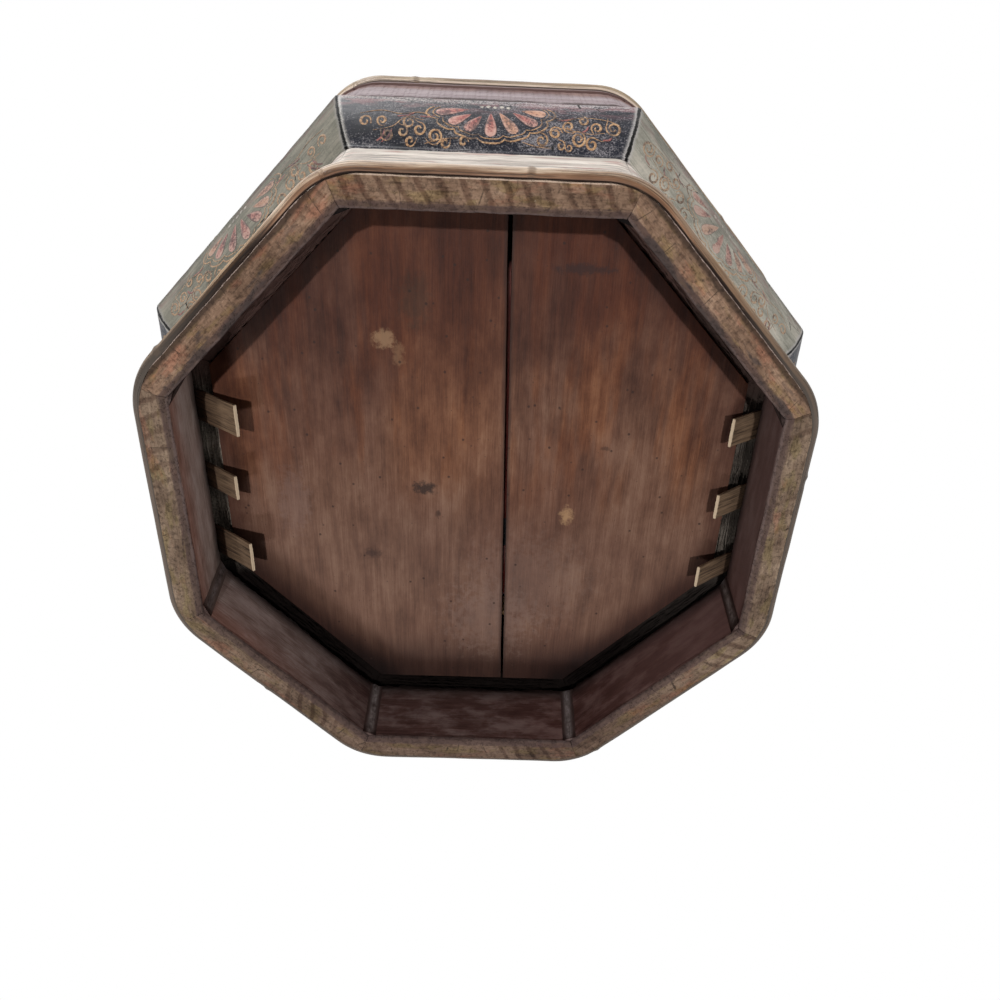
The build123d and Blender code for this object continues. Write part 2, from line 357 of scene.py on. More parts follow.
def foot_finish():
    finish = Finish("foot_wood")
    place = finish.attribute("place")
    along, out, up = finish.parts(place)
    radial, mitre, _ = finish.parts(finish.attribute("facing"))
    x, y, _ = finish.in_mm(finish.where())
    patches = finish.grain(place, (0.035, 0.07, 0.07), 5, 0.62)
    fine = finish.grain(place, (0.4, 0.9, 0.9), 5, 0.68)
    pits = finish.grain(place, (0.5, 0.42, 0.5), 5, 0.7, shift=(3.0, 1.0, 7.0))

    # Bare ground face: growth rings cross it at a slant, with pits and dirt in the soft wood.
    bend = finish.grain(place, (0.016, 0.03, 0.03), 3, shift=(0.0, 2.0, 0.0))
    rings = (along * 0.118 + out * 0.054 + bend * 1.6 + fine * 0.3).wave()
    clear_rings = finish.grain(place, (0.012, 0.0, 0.0), 1, shift=(5.0, 0.0, 0.0))
    on_front = (y * -tan(radians(22.5)) - abs(x)).rise(-1.5, 1.5)
    slanting = (y * -tan(radians(67.5)) - abs(x)).rise(-1.5, 1.5) * (1 - on_front)
    band = rings.rise(0.55, 0.82) * clear_rings.rise(0.42, 0.58).most(on_front * x.rise(50, 20))
    band = band * (1 - slanting * 0.55)
    grain = finish.grain(place, (0.07, 0.9, 0.9), 5, 0.7, shift=(1.0, 5.0, 0.0))
    bare = finish.ramp(
        patches * 0.5 + fine * 0.22 + grain * 0.38 - 0.05,
        (0.37, (0.07, 0.045, 0.03)),
        (0.46, (0.15, 0.1, 0.068)),
        (0.56, (0.245, 0.172, 0.12)),
        (0.67, (0.4, 0.3, 0.22)),
    )
    olive = finish.grain(place, (0.06, 0.16, 0.1), 4, shift=(1.0, 9.0, 4.0))
    bare = bare.stained((0.92, 0.98, 0.7), olive.rise(0.5, 0.62) * 0.7)
    # Painted light and shade: the ground face is painted lighter on the front and the slanting front sides,
    # and darker at the back.
    bare = bare.stained((1.17, 1.07, 1.03), on_front)
    bare = bare.stained((1.1, 0.98, 0.93), slanting)
    bare = bare.stained((0.68, 0.63, 0.64), y.rise(70, 130))
    rust = finish.grain(place, (0.03, 0.08, 0.05), 5, 0.65, shift=(9.0, 4.0, 0.0))
    bare = bare.stained((1.25, 0.9, 0.84), rust.rise(0.54, 0.66) * 0.7)
    bare = bare.stained((0.45, 0.38, 0.37), band * 0.75)
    bare = bare.stained((0.5, 0.43, 0.41), grain.rise(0.54, 0.66) * 0.7)
    bare = bare.coated(pits.rise(0.59, 0.68) * 0.75, (0.035, 0.023, 0.018))
    bare = bare.coated(pits.rise(0.36, 0.28) * 0.3, (0.4, 0.32, 0.25))
    chinks = finish.cracks(finish.stretch(place, 0.035, 0.012, 0.0, (2.0, 7.0, 0.0)))
    chink = (chinks + fine * 0.012).rise(0.015, 0.009) * patches.rise(0.49, 0.57)
    bare = bare.coated(chink * 0.7, (0.03, 0.02, 0.015))
    inner_edge = out + fine * 2.0 + grain * 3.0 - 2.5
    bare = bare.coated(inner_edge.rise(foot_inner + 4.2, foot_inner + 3.0) * 0.75, (0.085, 0.053, 0.048))
    lip = inner_edge.rise(foot_inner + 1.6, foot_inner + 0.6)
    bare = bare.coated(lip * y.rise(60, 20).most(rust.rise(0.5, 0.6)) * 0.6, (0.17, 0.12, 0.11))
    bare = bare.coated(lip * y.rise(20, 60) * 0.6, (0.035, 0.02, 0.018))
    stain = finish.grain(place, (0.05, 0.16, 0.1), 4, shift=(3.0, 3.0, 3.0))
    stained_edge = (stain - (out - foot_inner) * 0.012).rise(0.46, 0.58) * slanting
    bare = bare.coated(stained_edge * 0.75, (0.06, 0.045, 0.042))
    near_hoop = (out + patches * 4.0 + fine * 1.5).rise(foot_out - 0.6, foot_out + 1.0)
    bare = bare.coated(near_hoop * slanting * 0.85, (0.045, 0.027, 0.019))
    arris = (out + fine * 1.2).rise(foot_out + 0.15, foot_out + 0.4)
    bare = bare.coated(arris * slanting * 0.85, (0.5, 0.38, 0.33))
    rubbed_edge = (out + patches * 0.6).rise(foot_out - 0.5, foot_out - 0.2) * on_front
    bare = bare.coated(rubbed_edge * 0.8, (0.6, 0.45, 0.35))

    # Inside: dark red lacquer, dusty and scratched along the board.
    scratch = finish.grain(place, (0.05, 1.0, 1.4), 4, 0.7)
    dust = finish.grain(place, (0.05, 0.2, 0.09), 5, 0.65)
    inside = finish.ramp(
        scratch * 0.6 + dust * 0.4,
        (0.32, (0.05, 0.022, 0.018)),
        (0.5, (0.12, 0.06, 0.052)),
        (0.68, (0.24, 0.14, 0.125)),
    )
    inside = inside.coated(dust.rise(0.42, 0.68) * 0.6, (0.3, 0.23, 0.215))
    # The left wall is painted far paler and greyer than the others, redder near the ground face and darker
    # towards the back. The right wall is painted a little paler too.
    pale_left_wall = finish.ramp(
        scratch * 0.5 + dust * 0.5,
        (0.36, (0.4, 0.3, 0.265)),
        (0.5, (0.72, 0.58, 0.53)),
        (0.62, (0.92, 0.82, 0.78)),
    )
    left_wall = x.rise(-60, -140) * y.rise(-72, -56)
    inside = inside.coated(left_wall * 0.9, pale_left_wall)
    inside = inside.stained((0.85, 0.62, 0.55), left_wall * (up + dust * 24).rise(40, 16))
    inside = inside.stained((0.72, 0.68, 0.68), left_wall * y.rise(45, 70))
    inside = inside.coated(x.rise(60, 140) * 0.6, (0.26, 0.175, 0.165))
    redder = x.rise(0, 60) * y.rise(20, 60)
    inside = inside.stained((1.0, 0.86, 0.84), redder)
    rubbed_line = (up + scratch * 8.0).rise(9.5, 7.5)
    inside = inside.stained((0.4, 0.3, 0.28), rubbed_line * y.rise(-40, 20) * 0.8)
    # Painted shade: the inner wall is painted darker towards the deep end of the recess, and painted shadow
    # darkens the front walls.
    inside = inside.coated(up.rise(40, 54) * 0.7, (0.05, 0.036, 0.033))
    inside = inside.stained((0.35, 0.24, 0.24), y.rise(-70, -110))

    # Outside: black lacquer worn to a pale ground, with red paint left in places. The pale ground shows
    # only on the front, where it is worn and partly painted light; the other sides stay dark.
    flake = finish.grain(place, (0.03, 0.3, 0.3), 6, 0.7)
    red_left = finish.grain(place, (0.03, 0.2, 0.2), 5, 0.65, shift=(2.0, 8.0, 1.0))
    outside = finish.ramp(
        flake,
        (0.3, (0.19, 0.16, 0.145)),
        (0.4, (0.42, 0.37, 0.33)),
        (0.5, (0.62, 0.55, 0.49)),
        (0.62, (0.86, 0.79, 0.71)),
    )
    outside = outside.coated(red_left.rise(0.55, 0.62) * 0.55, (0.42, 0.15, 0.13))
    # Painted light: only the front keeps the pale ground, worn and partly painted light; every other side
    # is dark lacquer.
    away = y.rise(-120, -60)
    dark_side = finish.ramp(
        flake * 0.5 + scratch * 0.5,
        (0.38, (0.018, 0.014, 0.014)),
        (0.52, (0.042, 0.033, 0.031)),
        (0.66, (0.13, 0.1, 0.092)),
    )
    outside = outside.coated(away * 0.94, dark_side)
    outside = outside.coated(mitre.rise(1.2, 0.2), (0.015, 0.013, 0.012))
    outside = outside.coated(up.rise(foot_height - 3.5, foot_height - 0.5) * 0.9, (0.02, 0.017, 0.017))

    worn_edge = up + fine * 1.6 + patches * 1.2
    at_ground = worn_edge.rise(5.2, 3.6)
    colour = finish.mix(radial.rise(0.0, 0.6), inside, outside)
    colour = colour.coated(at_ground, bare)
    dull = 0.66 + at_ground * 0.2 + dust * 0.2
    bare_height = fine * 0.6 - band * 0.3 - pits.rise(0.5, 0.66) * 0.8
    height = at_ground * bare_height + (1 - at_ground) * scratch * 0.35
    return finish.done(colour, dull, height, 0.35, specular_ior_level=0.3)


foot_wood = foot_finish()
foot_outline = softened(
    [
        (foot_out, 0.0, foot_corner_radius),
        (foot_out, foot_hoop_zone, foot_corner_radius),
        (foot_top_out, foot_height, foot_top_corner_radius),
        (foot_recess, foot_height, 0.0),
        (foot_recess, foot_ledge_height, 0.0),
        (foot_ledge, foot_ledge_height, 0.0),
        (foot_inner, foot_arris_height, 0.0),
        (foot_inner + foot_arris, 0.0, 0.0),
    ],
    radius=0.8,
    step=3.0,
)
for side in SIDES:
    board = side_bar(f"foot_board_{side}_worn", side, foot_outline, joint=0.05, arris=0.25, wear=0.3)
    fit(board, "basket", "foot_wood", foot_wood, f"foot_board_{side}")


# Foot hoop
# A bamboo pole split in half and bent round the foot with its skin outwards, in one closed ring. The nodes
# of the pole show as low ridges.

foot_hoop_lift = 0.8
foot_hoop_width = 10.0
foot_hoop_proud = 4.2
node_gap = 215.0
node_ridge = 0.45
node_groove = 0.25
hoop_steps = 59


def half_round(out, lift, width, proud, corner_radius, count=14):
    """The outline of a split pole with its flat side at out."""
    bend = [pi * (i / count - 0.5) for i in range(count + 1)]
    crest = [(out + proud * cos(t), lift + width / 2 * (1 + sin(t)), corner_radius) for t in bend]
    flat = [(out, lift + width * (1 - i / 4), corner_radius) for i in range(1, 4)]
    return np.array(crest + flat)


def hoop(name, out, lift, width, proud, corner_radius, start):
    """A split pole that follows the rounded octagon, with the ridges of its nodes."""
    outline = half_round(out, lift, width, proud, corner_radius)
    normal = outward(outline)
    shares = np.linspace(-1, 1, hoop_steps + 1)[:-1]
    step = 2 * out * HALF_SHARE / len(shares)
    points, places, facings = [], [], []
    travel = start
    for facing in SIDES.values():
        for share in shares:
            travel += step
            outs, along = octagon_place(outline[:, 0], outline[:, 2], share)
            off_node = (travel % node_gap) - node_gap / 2
            ridge = node_ridge * np.exp(-((off_node / 1.6) ** 2))
            ridge = ridge - node_groove * np.exp(-(((off_node - 3) / 1.8) ** 2))
            for i in range(len(outline)):
                skin = max(0.0, normal[i, 0])
                where = Vector((travel * 0.05, outline[i, 1] * 0.35, out))
                lift_off = 0.22 * noise.noise(where) - 0.12 + ridge * skin
                o = outs[i] + normal[i, 0] * lift_off * (skin > 0)
                u = outline[i, 1] + normal[i, 1] * lift_off * (skin > 0)
                points.append(turned(radians(facing), o, along[i], u))
                places.append((travel, (outline[i, 0] - out) / proud, (u - lift) / width))
                facings.append((skin, off_node, normal[i, 1]))
    faces = tube_faces(len(SIDES) * len(shares), len(outline), closed=True)
    return mesh_object(name, points, faces, {"place": places, "facing": facings}, flat_angle=60)


def bamboo_finish(name, gap):
    """Split bamboo skin with painted light and shade. A gap of 1 gives the foot hoop: a painted highlight
    on its crest and upper half, painted shade below, and a near-black painted shadow under its lower edge.
    A gap of 0 gives the rim hoop: a painted highlight on its lower flank and painted shade where it meets
    the rail.
    """
    finish = Finish(name)
    place = finish.attribute("place")
    _, crest, rise = finish.parts(place)
    _, off_node, _ = finish.parts(finish.attribute("facing"))
    x, y, z = finish.in_mm(finish.where())
    fibre = finish.grain(place, (0.035, 3.0, 26.0), 4, 0.7)
    patch = finish.grain(place, (0.03, 1.0, 2.0), 4)
    colour = finish.ramp(
        patch * 0.6 + fibre * 0.6 - 0.1,
        (0.34, (0.17, 0.1, 0.06)),
        (0.48, (0.37, 0.245, 0.155)),
        (0.62, (0.66, 0.51, 0.38)),
    )
    at_node = 1 - abs(off_node).rise(0.8, 2.4)
    split = finish.grain(place, (0.018, 1.0, 16.0), 3, shift=(7.0, 3.0, 1.0))
    crack = split.rise(0.6, 0.63)
    # Painted light: the crest and upper half count as the lit part and are painted lighter; the rest is
    # painted darker as shade.
    painted_lit_part = (crest + fibre * 0.4 - 0.2).most(rise.rise(0.5, 0.6))
    colour = colour.stained((0.5, 0.37, 0.3), painted_lit_part.rise(0.82, 0.4) * gap)
    colour = colour.stained((0.8, 0.82, 0.76), crest.rise(0.5, 0.7) * (1 - gap))
    # Painted highlight: cream on the foot hoop's crest and on the rim hoop's lower flank.
    under = crest.rise(0.72, 0.5) * (1 - gap)
    high = painted_lit_part.rise(0.86, 1.0) * gap + under
    colour = colour.coated(high * (0.95 - fibre * 0.8), (0.95, 0.8, 0.67))
    # On the slanting front sides the painted highlight is golden, the brown body below it is darker on the
    # left, and painted shade near black lies at the bottom.
    slanting = y.rise(-50, -70) * y.rise(-142, -128) * gap
    colour = colour.stained((0.64, 0.54, 0.4), slanting * painted_lit_part.rise(0.7, 0.9))
    on_left = x.rise(40, -40)
    brown = finish.mix(on_left, (0.24, 0.15, 0.092), (0.065, 0.036, 0.02))
    colour = colour.coated(slanting * painted_lit_part.rise(0.9, 0.68) * (0.75 + on_left * 0.25), brown)
    shaded = painted_lit_part.rise(0.45, 0.25).most(painted_lit_part.rise(0.6, 0.4) * on_left)
    colour = colour.coated(slanting * shaded, (0.016, 0.01, 0.008))
    # Painted shade where the rim hoop's lower flank meets the rail.
    colour = colour.coated(under * crest.rise(0.38, 0.26), (0.06, 0.035, 0.028))
    colour = colour.coated(at_node * 0.6, (0.12, 0.07, 0.04))
    colour = colour.coated(crack * 0.6, (0.04, 0.027, 0.02))
    # Painted shadow: near black under the foot hoop's lower edge.
    crevice_shade = crest.rise(0.24, 0.12) * rise.rise(0.4, 0.2) * gap
    colour = colour.coated(crevice_shade, (0.016, 0.008, 0.005))
    darkening = finish.grain(place, (0.12, 3.0, 3.0), 5, 0.7)
    colour = colour.coated(darkening.rise(0.56, 0.7) * 0.5, (0.1, 0.065, 0.045))
    dark_side = y.rise(-125, -60) * z.rise(60, 40)
    colour = colour.coated(dark_side * 0.85, (0.1, 0.082, 0.068))
    height = fibre * 0.5 - crack
    dull = (0.4 + patch * 0.3).most(crevice_shade).most(slanting * painted_lit_part.rise(0.95, 0.7))
    return finish.done(colour, dull, height, 0.3, specular_ior_level=0.3)


bamboo_skin = bamboo_finish("bamboo_hoop", 1.0)
rim_skin = bamboo_finish("bamboo_rim_hoop", 0.0)
foot_hoop = hoop(
    "foot_hoop_split_pole",
    foot_out,
    foot_hoop_lift,
    foot_hoop_width,
    foot_hoop_proud,
    foot_corner_radius,
    start=20.0,
)
fit(foot_hoop, "basket", "bamboo_hoop", bamboo_skin, "foot_hoop")


# Floor planks
# Two softwood planks, oiled and lacquered a thin red-brown, with an open seam that runs from
# front to back. They lie a little above the foot's ledge.

plank_low, plank_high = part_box("floor_plank_left")
plank_out = -plank_low.x / MM
plank_bottom = plank_low.z / MM
plank_top = plank_high.z / MM
seam_offset = 15.8
seam_front_gap = 2.3
seam_back_gap = 1.5
seam_skew = radians(1.4)


def seam_edge(y, toward):
    """The edge of a plank along the seam, which wavers where the two planks have shrunk."""
    share = (y + plank_out) / (2 * plank_out)
    gap = seam_front_gap + (seam_back_gap - seam_front_gap) * share
    waver = 0.25 * noise.noise(Vector((y * 0.03, toward, 5.0)))
    return seam_offset + y * tan(seam_skew) + toward * gap / 2 + waver


def plank(name, toward):
    """One plank: -1 is left of the seam and 1 is right of it."""
    corner = plank_out * HALF_SHARE
    rows = sorted(set(np.linspace(-plank_out, plank_out, 140)) | {-corner, corner})
    section = softened([(0, 0, 0), (0, 1, 0), (1, 1, 0), (1, 0, 0)], radius=0.008, step=0.03)
    thickness = plank_top - plank_bottom
    points, places, facings = [], [], []
    for y in rows:
        side_out = min(plank_out, plank_out * sqrt(2) - abs(y))
        inner, outer = seam_edge(y, toward), toward * side_out
        for share, level, _ in section:
            edge = 0.05 * (abs(level - 0.5) > 0.49)
            x = inner + (outer - inner) * share
            cup = 0.5 * noise.noise(Vector((x * 0.012, y * 0.008, toward)))
            z = plank_bottom + thickness * level + (cup if level < 0.5 else 0) * (1 - 2 * edge)
            points.append((x, y, z))
            places.append((y + 200 * toward, x, z))
            facings.append((abs(outer - x), abs(x - inner), level))
    faces = tube_faces(len(rows), len(section))
    return mesh_object(name, points, faces, {"place": places, "facing": facings})


def plank_finish():
    finish = Finish("floor_wood")
    place = finish.attribute("place")
    _, across, _ = finish.parts(place)
    off_edge, off_seam, _ = finish.parts(finish.attribute("facing"))
    where = finish.where()
    x, y, _ = finish.in_mm(where)
    flat = finish.stretch(where, 1000.0, 1000.0, 0.0)
    bend = finish.grain(place, (0.007, 0.03, 0.02), 3)
    streak = finish.grain(place, (0.014, 0.4, 0.5), 6, 0.72)
    hair = finish.grain(place, (0.07, 2.1, 2.0), 4, 0.75)
    rings = (across * 0.075 + bend * 6.0).wave()
    mottle = finish.grain(flat, (0.04, 0.022, 0.0), 6, 0.68)
    line = finish.grain(place, (0.022, 0.8, 0.7), 4, 0.68, shift=(3.0, 1.0, 0.0))
    tone = streak * 0.18 + hair * 0.2 + line * 0.1 + rings * 0.05 + mottle * 0.4 + 0.035
    colour = finish.ramp(
        tone,
        (0.4, (0.065, 0.027, 0.016)),
        (0.5, (0.13, 0.061, 0.037)),
        (0.6, (0.2, 0.11, 0.072)),
    )
    gold_streak = finish.grain(place, (0.009, 0.05, 0.1), 4, shift=(4.0, 2.0, 0.0))
    golden = gold_streak.rise(0.46, 0.62).most(x.rise(-60, -35) * x.rise(30, -5) * 0.7)
    colour = colour.stained((1.25, 1.0, 0.72), golden * (y + mottle * 80).rise(80, 10) * 0.9)
    blush = finish.grain(flat, (0.013, 0.009, 0.0), 4, shift=(1.0, 6.0, 0.0))
    colour = colour.stained((0.62, 0.45, 0.42), blush.rise(0.56, 0.38) * 0.5)
    # Painted shade: the planks are painted darker towards the front.
    colour = colour.stained((0.5, 0.35, 0.31), (y + mottle * 60).rise(25, -75))
    colour = colour.coated((y + mottle * 60).rise(20, 90) * 0.15, (0.15, 0.1, 0.083))
    # Painted shade: darker along the back edge and towards both back corners.
    colour = colour.stained((0.25, 0.2, 0.21), (y + mottle * 26).rise(112, 150) * 0.95)
    far_left = (y - x) * sqrt(0.5) + mottle * 26
    far_right = (y + x) * sqrt(0.5) + mottle * 26
    colour = colour.stained((0.3, 0.24, 0.24), far_left.rise(126, 154) * 0.9)
    colour = colour.stained((0.4, 0.32, 0.32), far_right.rise(128, 154) * 0.9)
    ragged = finish.grain(flat, (0.22, 0.2, 0.0), 6, 0.72)
    for x_mm, y_mm, wide, long, stain, share in (
        (-50, -76, 6.5, 5.0, (0.36, 0.22, 0.12), 0.5),
        (-43, -68, 3.5, 6.0, (0.33, 0.19, 0.1), 0.3),
        (52, 22, 3.6, 6.0, (0.4, 0.24, 0.12), 0.6),
        (-30, 8, 7.5, 4.0, (0.02, 0.011, 0.009), 0.85),
        (50, -114, 16.0, 2.8, (0.028, 0.013, 0.012), 0.7),
        (-62, 52, 6.0, 3.2, (0.04, 0.02, 0.016), 0.7),
        (-22, 24, 1.6, 2.6, (0.03, 0.014, 0.01), 0.7),
        (-34, -96, 9.0, 14.0, (0.03, 0.022, 0.014), 0.35),
        (70, -20, 3.0, 1.5, (0.03, 0.014, 0.01), 0.5),
        (-104, 20, 10.0, 22.0, (0.19, 0.12, 0.1), 0.3),
        (10, 96, 30.0, 26.0, (0.2, 0.13, 0.105), 0.3),
        (30, 70, 40.0, 34.0, (0.19, 0.12, 0.095), 0.25),
    ):
        offset = finish.stretch(flat, 1 / wide, 1 / long, 0.0, (-x_mm / wide, -y_mm / long, 0.0))
        reach = finish.length(offset)
        spot = (reach + ragged * 3.0).rise(2.7, 1.9)
        colour = colour.coated(spot * share, stain)
    # Painted shade: darker near the walls.
    near_wall = (off_edge + mottle * 14 - 7).rise(20, 2)
    colour = colour.stained((0.4, 0.29, 0.28), near_wall * 0.75)
    near_seam = (off_seam + hair * 2.0).rise(3.4, 1.0)
    colour = colour.coated(near_seam * 0.75, (0.03, 0.014, 0.01))
    dirt = finish.specks(finish.stretch(flat, 0.11, 0.11, 0.0))
    grit = finish.specks(finish.stretch(flat, 0.33, 0.25, 0.0, (3.0, 1.0, 0.0)))
    colour = colour.coated(dirt.rise(0.11, 0.05) * 0.75, (0.025, 0.012, 0.009))
    colour = colour.coated(grit.rise(0.13, 0.05) * mottle.rise(0.45, 0.6) * 0.6, (0.03, 0.018, 0.014))
    gloss = 0.46 + streak * 0.25
    return finish.done(colour, gloss, hair + rings * 0.3, 0.14, specular_ior_level=0.2)


plank_wood = plank_finish()
for name, toward in (("left", -1), ("right", 1)):
    board = plank(f"floor_plank_{name}_warped", toward)
    fit(board, "basket", "floor_wood", plank_wood, f"floor_plank_{name}")


# Floor packing
# Bamboo fibre and shavings pressed into the gap between the planks and the wall, now black with age. A dark
# bed lies under loose fibres that run along each side. At the back the packing is painted near black as
# shade, and at the front corners a lighter red-brown is painted light.

_, _, packing_bottom, packing_top = extent("floor_packing")
fibres_each_side = 46
strand_ring = 4
random_fibre = random.Random(11)


def strand(line, radius):
    """Points of a thin closed strand that follows a line of points and tapers at both ends."""
    line = np.asarray(line)
    points = []
    for i, middle in enumerate(line):
        ahead = line[min(i + 1, len(line) - 1)] - line[max(i - 1, 0)]
        ahead /= np.linalg.norm(ahead)
        level = np.cross(ahead, (0, 0, 1.0))
        level /= np.linalg.norm(level)
        upward = np.cross(level, ahead)
        width = radius * (0.35 + 0.65 * sin(pi * (i + 0.5) / len(line)))
        for k in range(strand_ring):
            turn = 2 * pi * k / strand_ring
            points.append(middle + width * (level * cos(turn) + upward * sin(turn)))
    return points


def fibres(name, side):
    """Loose fibres over the bed of packing on one side."""
    facing = radians(SIDES[side])
    points, faces = [], []
    for number in range(fibres_each_side):
        out = random_fibre.uniform(plank_out + 0.6, foot_recess - 0.8)
        reach = out * HALF_SHARE - 2
        start = random_fibre.uniform(-reach, reach * 0.6)
        length = random_fibre.uniform(18, 60)
        low = random_fibre.uniform(packing_bottom - 1.6, packing_bottom + 1.0)
        drift = random_fibre.uniform(-0.05, 0.05)
        line = []
        for step in range(12):
            a = min(start + length * step / 11, reach)
            sway = 1.4 * noise.noise(Vector((a * 0.08, number * 3.7, 1.0)))
            o = min(max(out + drift * (a - start) + sway, plank_out + 0.4), foot_recess - 0.5)
            u = low + 0.9 * noise.noise(Vector((a * 0.1, number * 5.1, 9.0)))
            if not line or a - line[-1][0] > 0.5:
                line.append((a, o, u))
        world = [turned(facing, o, a, u) for a, o, u in line]
        if len(world) < 3:
            continue
        faces += tube_faces(len(world), strand_ring, base=len(points))
        points += strand(world, random_fibre.uniform(0.16, 0.42))
    return mesh_object(name, points, faces, {})


def fibre_finish():
    finish = Finish("fibre_packing")
    where = finish.where()
    grain = finish.cloud(where, scale=900, detail=4, roughness=0.7)
    patch = finish.cloud(where, scale=60, detail=3)
    colour = finish.ramp(
        patch * 0.6 + grain * 0.4,
        (0.34, (0.035, 0.029, 0.024)),
        (0.5, (0.12, 0.1, 0.082)),
        (0.64, (0.34, 0.29, 0.24)),
    )
    x, y, _ = finish.in_mm(where)
    # Painted light: a lighter red-brown at the front corners.
    colour = colour.coated(y.rise(-40, -60) * abs(x).rise(50, 62) * 0.9, (0.17, 0.095, 0.08))
    # Painted shade: near black at the back.
    colour = colour.coated((y + patch * 20).rise(60, 82), (0.006, 0.004, 0.0035))
    colour = colour.coated(x.rise(90, 120) * 0.6, (0.03, 0.024, 0.021))
    return finish.done(colour, 0.8 + grain * 0.15, grain, 0.4, specular_ior_level=0.06)


fibre_dark = fibre_finish()
packing_outline = softened(
    [
        (plank_out + 0.1, packing_bottom + 0.8, 0.0),
        (foot_recess - 0.1, packing_bottom + 0.8, 0.0),
        (foot_recess - 0.1, packing_top, 0.0),
        (plank_out + 0.1, packing_top, 0.0),
    ],
    radius=0.8,
    step=1.6,
)
for side in SIDES:
    bed = side_bar(
        f"packing_bed_{side}", side, packing_outline, joint=0.0, step=1.8, wear=1.5, wear_size=3.2
    )
    fit(bed, "basket", "fibre_packing", fibre_dark, "floor_packing")
    fit(fibres(f"packing_fibres_{side}", side), "basket", "fibre_packing", fibre_dark)


# Floor slips
# Six slips of split bamboo wedged between the ledge and the planks. Their split faces show pale
# fibres, and their sawn lower ends are bright.

slip_thickness = 1.6
slip_angle = radians(40.0)
slip_bow = 0.5
slip_fibre = 0.16
SLIPS = (
    ("left", 38.0, 17.0, 41.0),
    ("left", -2.5, 14.0, 33.0),
    ("left", -43.5, 17.5, 39.0),
    ("right", -38.0, 15.5, 29.0),
    ("right", 5.0, 14.5, 30.0),
    ("right", 48.0, 13.0, 36.0),
)


def slip(name, side, middle, width, length, seed):
    """One slip: split along its fibres, so that its long edges and its faces are not straight."""
    facing = radians(SIDES[side])
    steps_along, steps_across = 26, 16
    rest_up = foot_ledge_height + (foot_recess - foot_ledge) * tan(slip_angle)
    points, places, facings = [], [], []
    ring = 2 * (steps_across + 1)
    for i in range(steps_along + 1):
        run = length * i / steps_along
        for j in range(ring):
            across_index = j if j <= steps_across else 2 * steps_across + 1 - j
            over = j <= steps_across
            share = across_index / steps_across * 2 - 1
            edge = 1 + 0.05 * noise.noise(Vector((run * 0.05, seed * 7.0, share)))
            across = share * width / 2 * edge
            fibre = slip_fibre * noise.noise(Vector((across * 1.6, run * 0.03, seed * 3.0)))
            bowed = slip_bow * sin(pi * run / length)
            thick = (slip_thickness / 2) * (1 if over else -1) * (1 - 0.25 * abs(share) ** 4)
            height = thick + fibre + bowed
            o = foot_recess - run * cos(slip_angle) - height * sin(slip_angle)
            u = rest_up - run * sin(slip_angle) + height * cos(slip_angle) + slip_thickness / 2 - bowed
            points.append(turned(facing, o, middle + across, u))
            places.append((run + 90 * seed, across, height))
            facings.append((length - run, 1 - abs(share), 1.0 if over else -1.0))
    faces = tube_faces(steps_along + 1, ring)
    return mesh_object(name, points, faces, {"place": places, "facing": facings}, flat_angle=35)


def slip_finish():
    finish = Finish("bamboo_slip")
    place = finish.attribute("place")
    from_end, from_edge, _ = finish.parts(finish.attribute("facing"))
    fibre = finish.grain(place, (0.03, 0.9, 0.6), 4, 0.72)
    hair = finish.grain(place, (0.1, 2.6, 1.0), 2)
    patch = finish.grain(place, (0.05, 0.1, 0.1), 3)
    colour = finish.ramp(
        fibre * 0.6 + hair * 0.25 + patch * 0.15,
        (0.4, (0.03, 0.018, 0.011)),
        (0.47, (0.1, 0.063, 0.038)),
        (0.6, (0.2, 0.13, 0.078)),
    )
    colour = colour.coated(from_end.rise(1.1, 0.2) * 0.85, (0.68, 0.53, 0.37))
    colour = colour.coated(from_edge.rise(0.06, 0.0) * 0.5, (0.12, 0.07, 0.04))
    # Painted shade: the slip is painted darker towards its upper end, deep in the recess.
    high_up = from_end.rise(8, 32)
    colour = colour.stained((0.32, 0.25, 0.21), high_up * 0.85)
    return finish.done(colour, 0.55 + fibre * 0.3, fibre + hair * 0.5, 0.3, specular_ior_level=0.35)


slip_bamboo = slip_finish()
for number, (side, middle, width, length) in enumerate(SLIPS, start=1):
    node = f"floor_slip_{number}_{side}"
    made = slip(f"{node}_split", side, middle, width, length, number)
    fit(made, "basket", "bamboo_slip", slip_bamboo, node)


# Corner strips
# Eight strips of lacquered paper glued over the inner corner joints of the foot, now grey with
# dust and lifting a little at their edges.

def strip_finish():
    finish = Finish("joint_strip")
    where = finish.where()
    dust = finish.cloud(where, scale=110, detail=5, roughness=0.7)
    thread = finish.grain(where, (1400.0, 1400.0, 120.0), 3)
    x, y, z = finish.in_mm(where)
    colour = finish.ramp(
        dust * 0.7 + thread * 0.3,
        (0.38, (0.1, 0.078, 0.072)),
        (0.5, (0.22, 0.185, 0.178)),
        (0.62, (0.4, 0.35, 0.34)),
    )
    long_way, short_way = abs(x).most(abs(y)), abs(x).least(abs(y))
    off_joint = abs(short_way * cos(radians(22.5)) - long_way * sin(radians(22.5))) + dust * 3 - 1.5
    beside = finish.mix(x.rise(-60, -140), (0.075, 0.045, 0.04), (0.2, 0.15, 0.135))
    colour = colour.coated(off_joint.rise(0.6, 3.4), beside)
    colour = colour.stained((0.3, 0.22, 0.2), (z + dust * 12).rise(16, 8))
    # Painted shade: the strips at the front are painted near black.
    colour = colour.stained((0.06, 0.04, 0.037), y.rise(-40, -75))
    return finish.done(colour, 0.8 + dust * 0.15, thread, 0.2, specular_ior_level=0.2)


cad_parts["foot_corner_strips"].data.materials.clear()
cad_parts["foot_corner_strips"].data.materials.append(strip_finish())


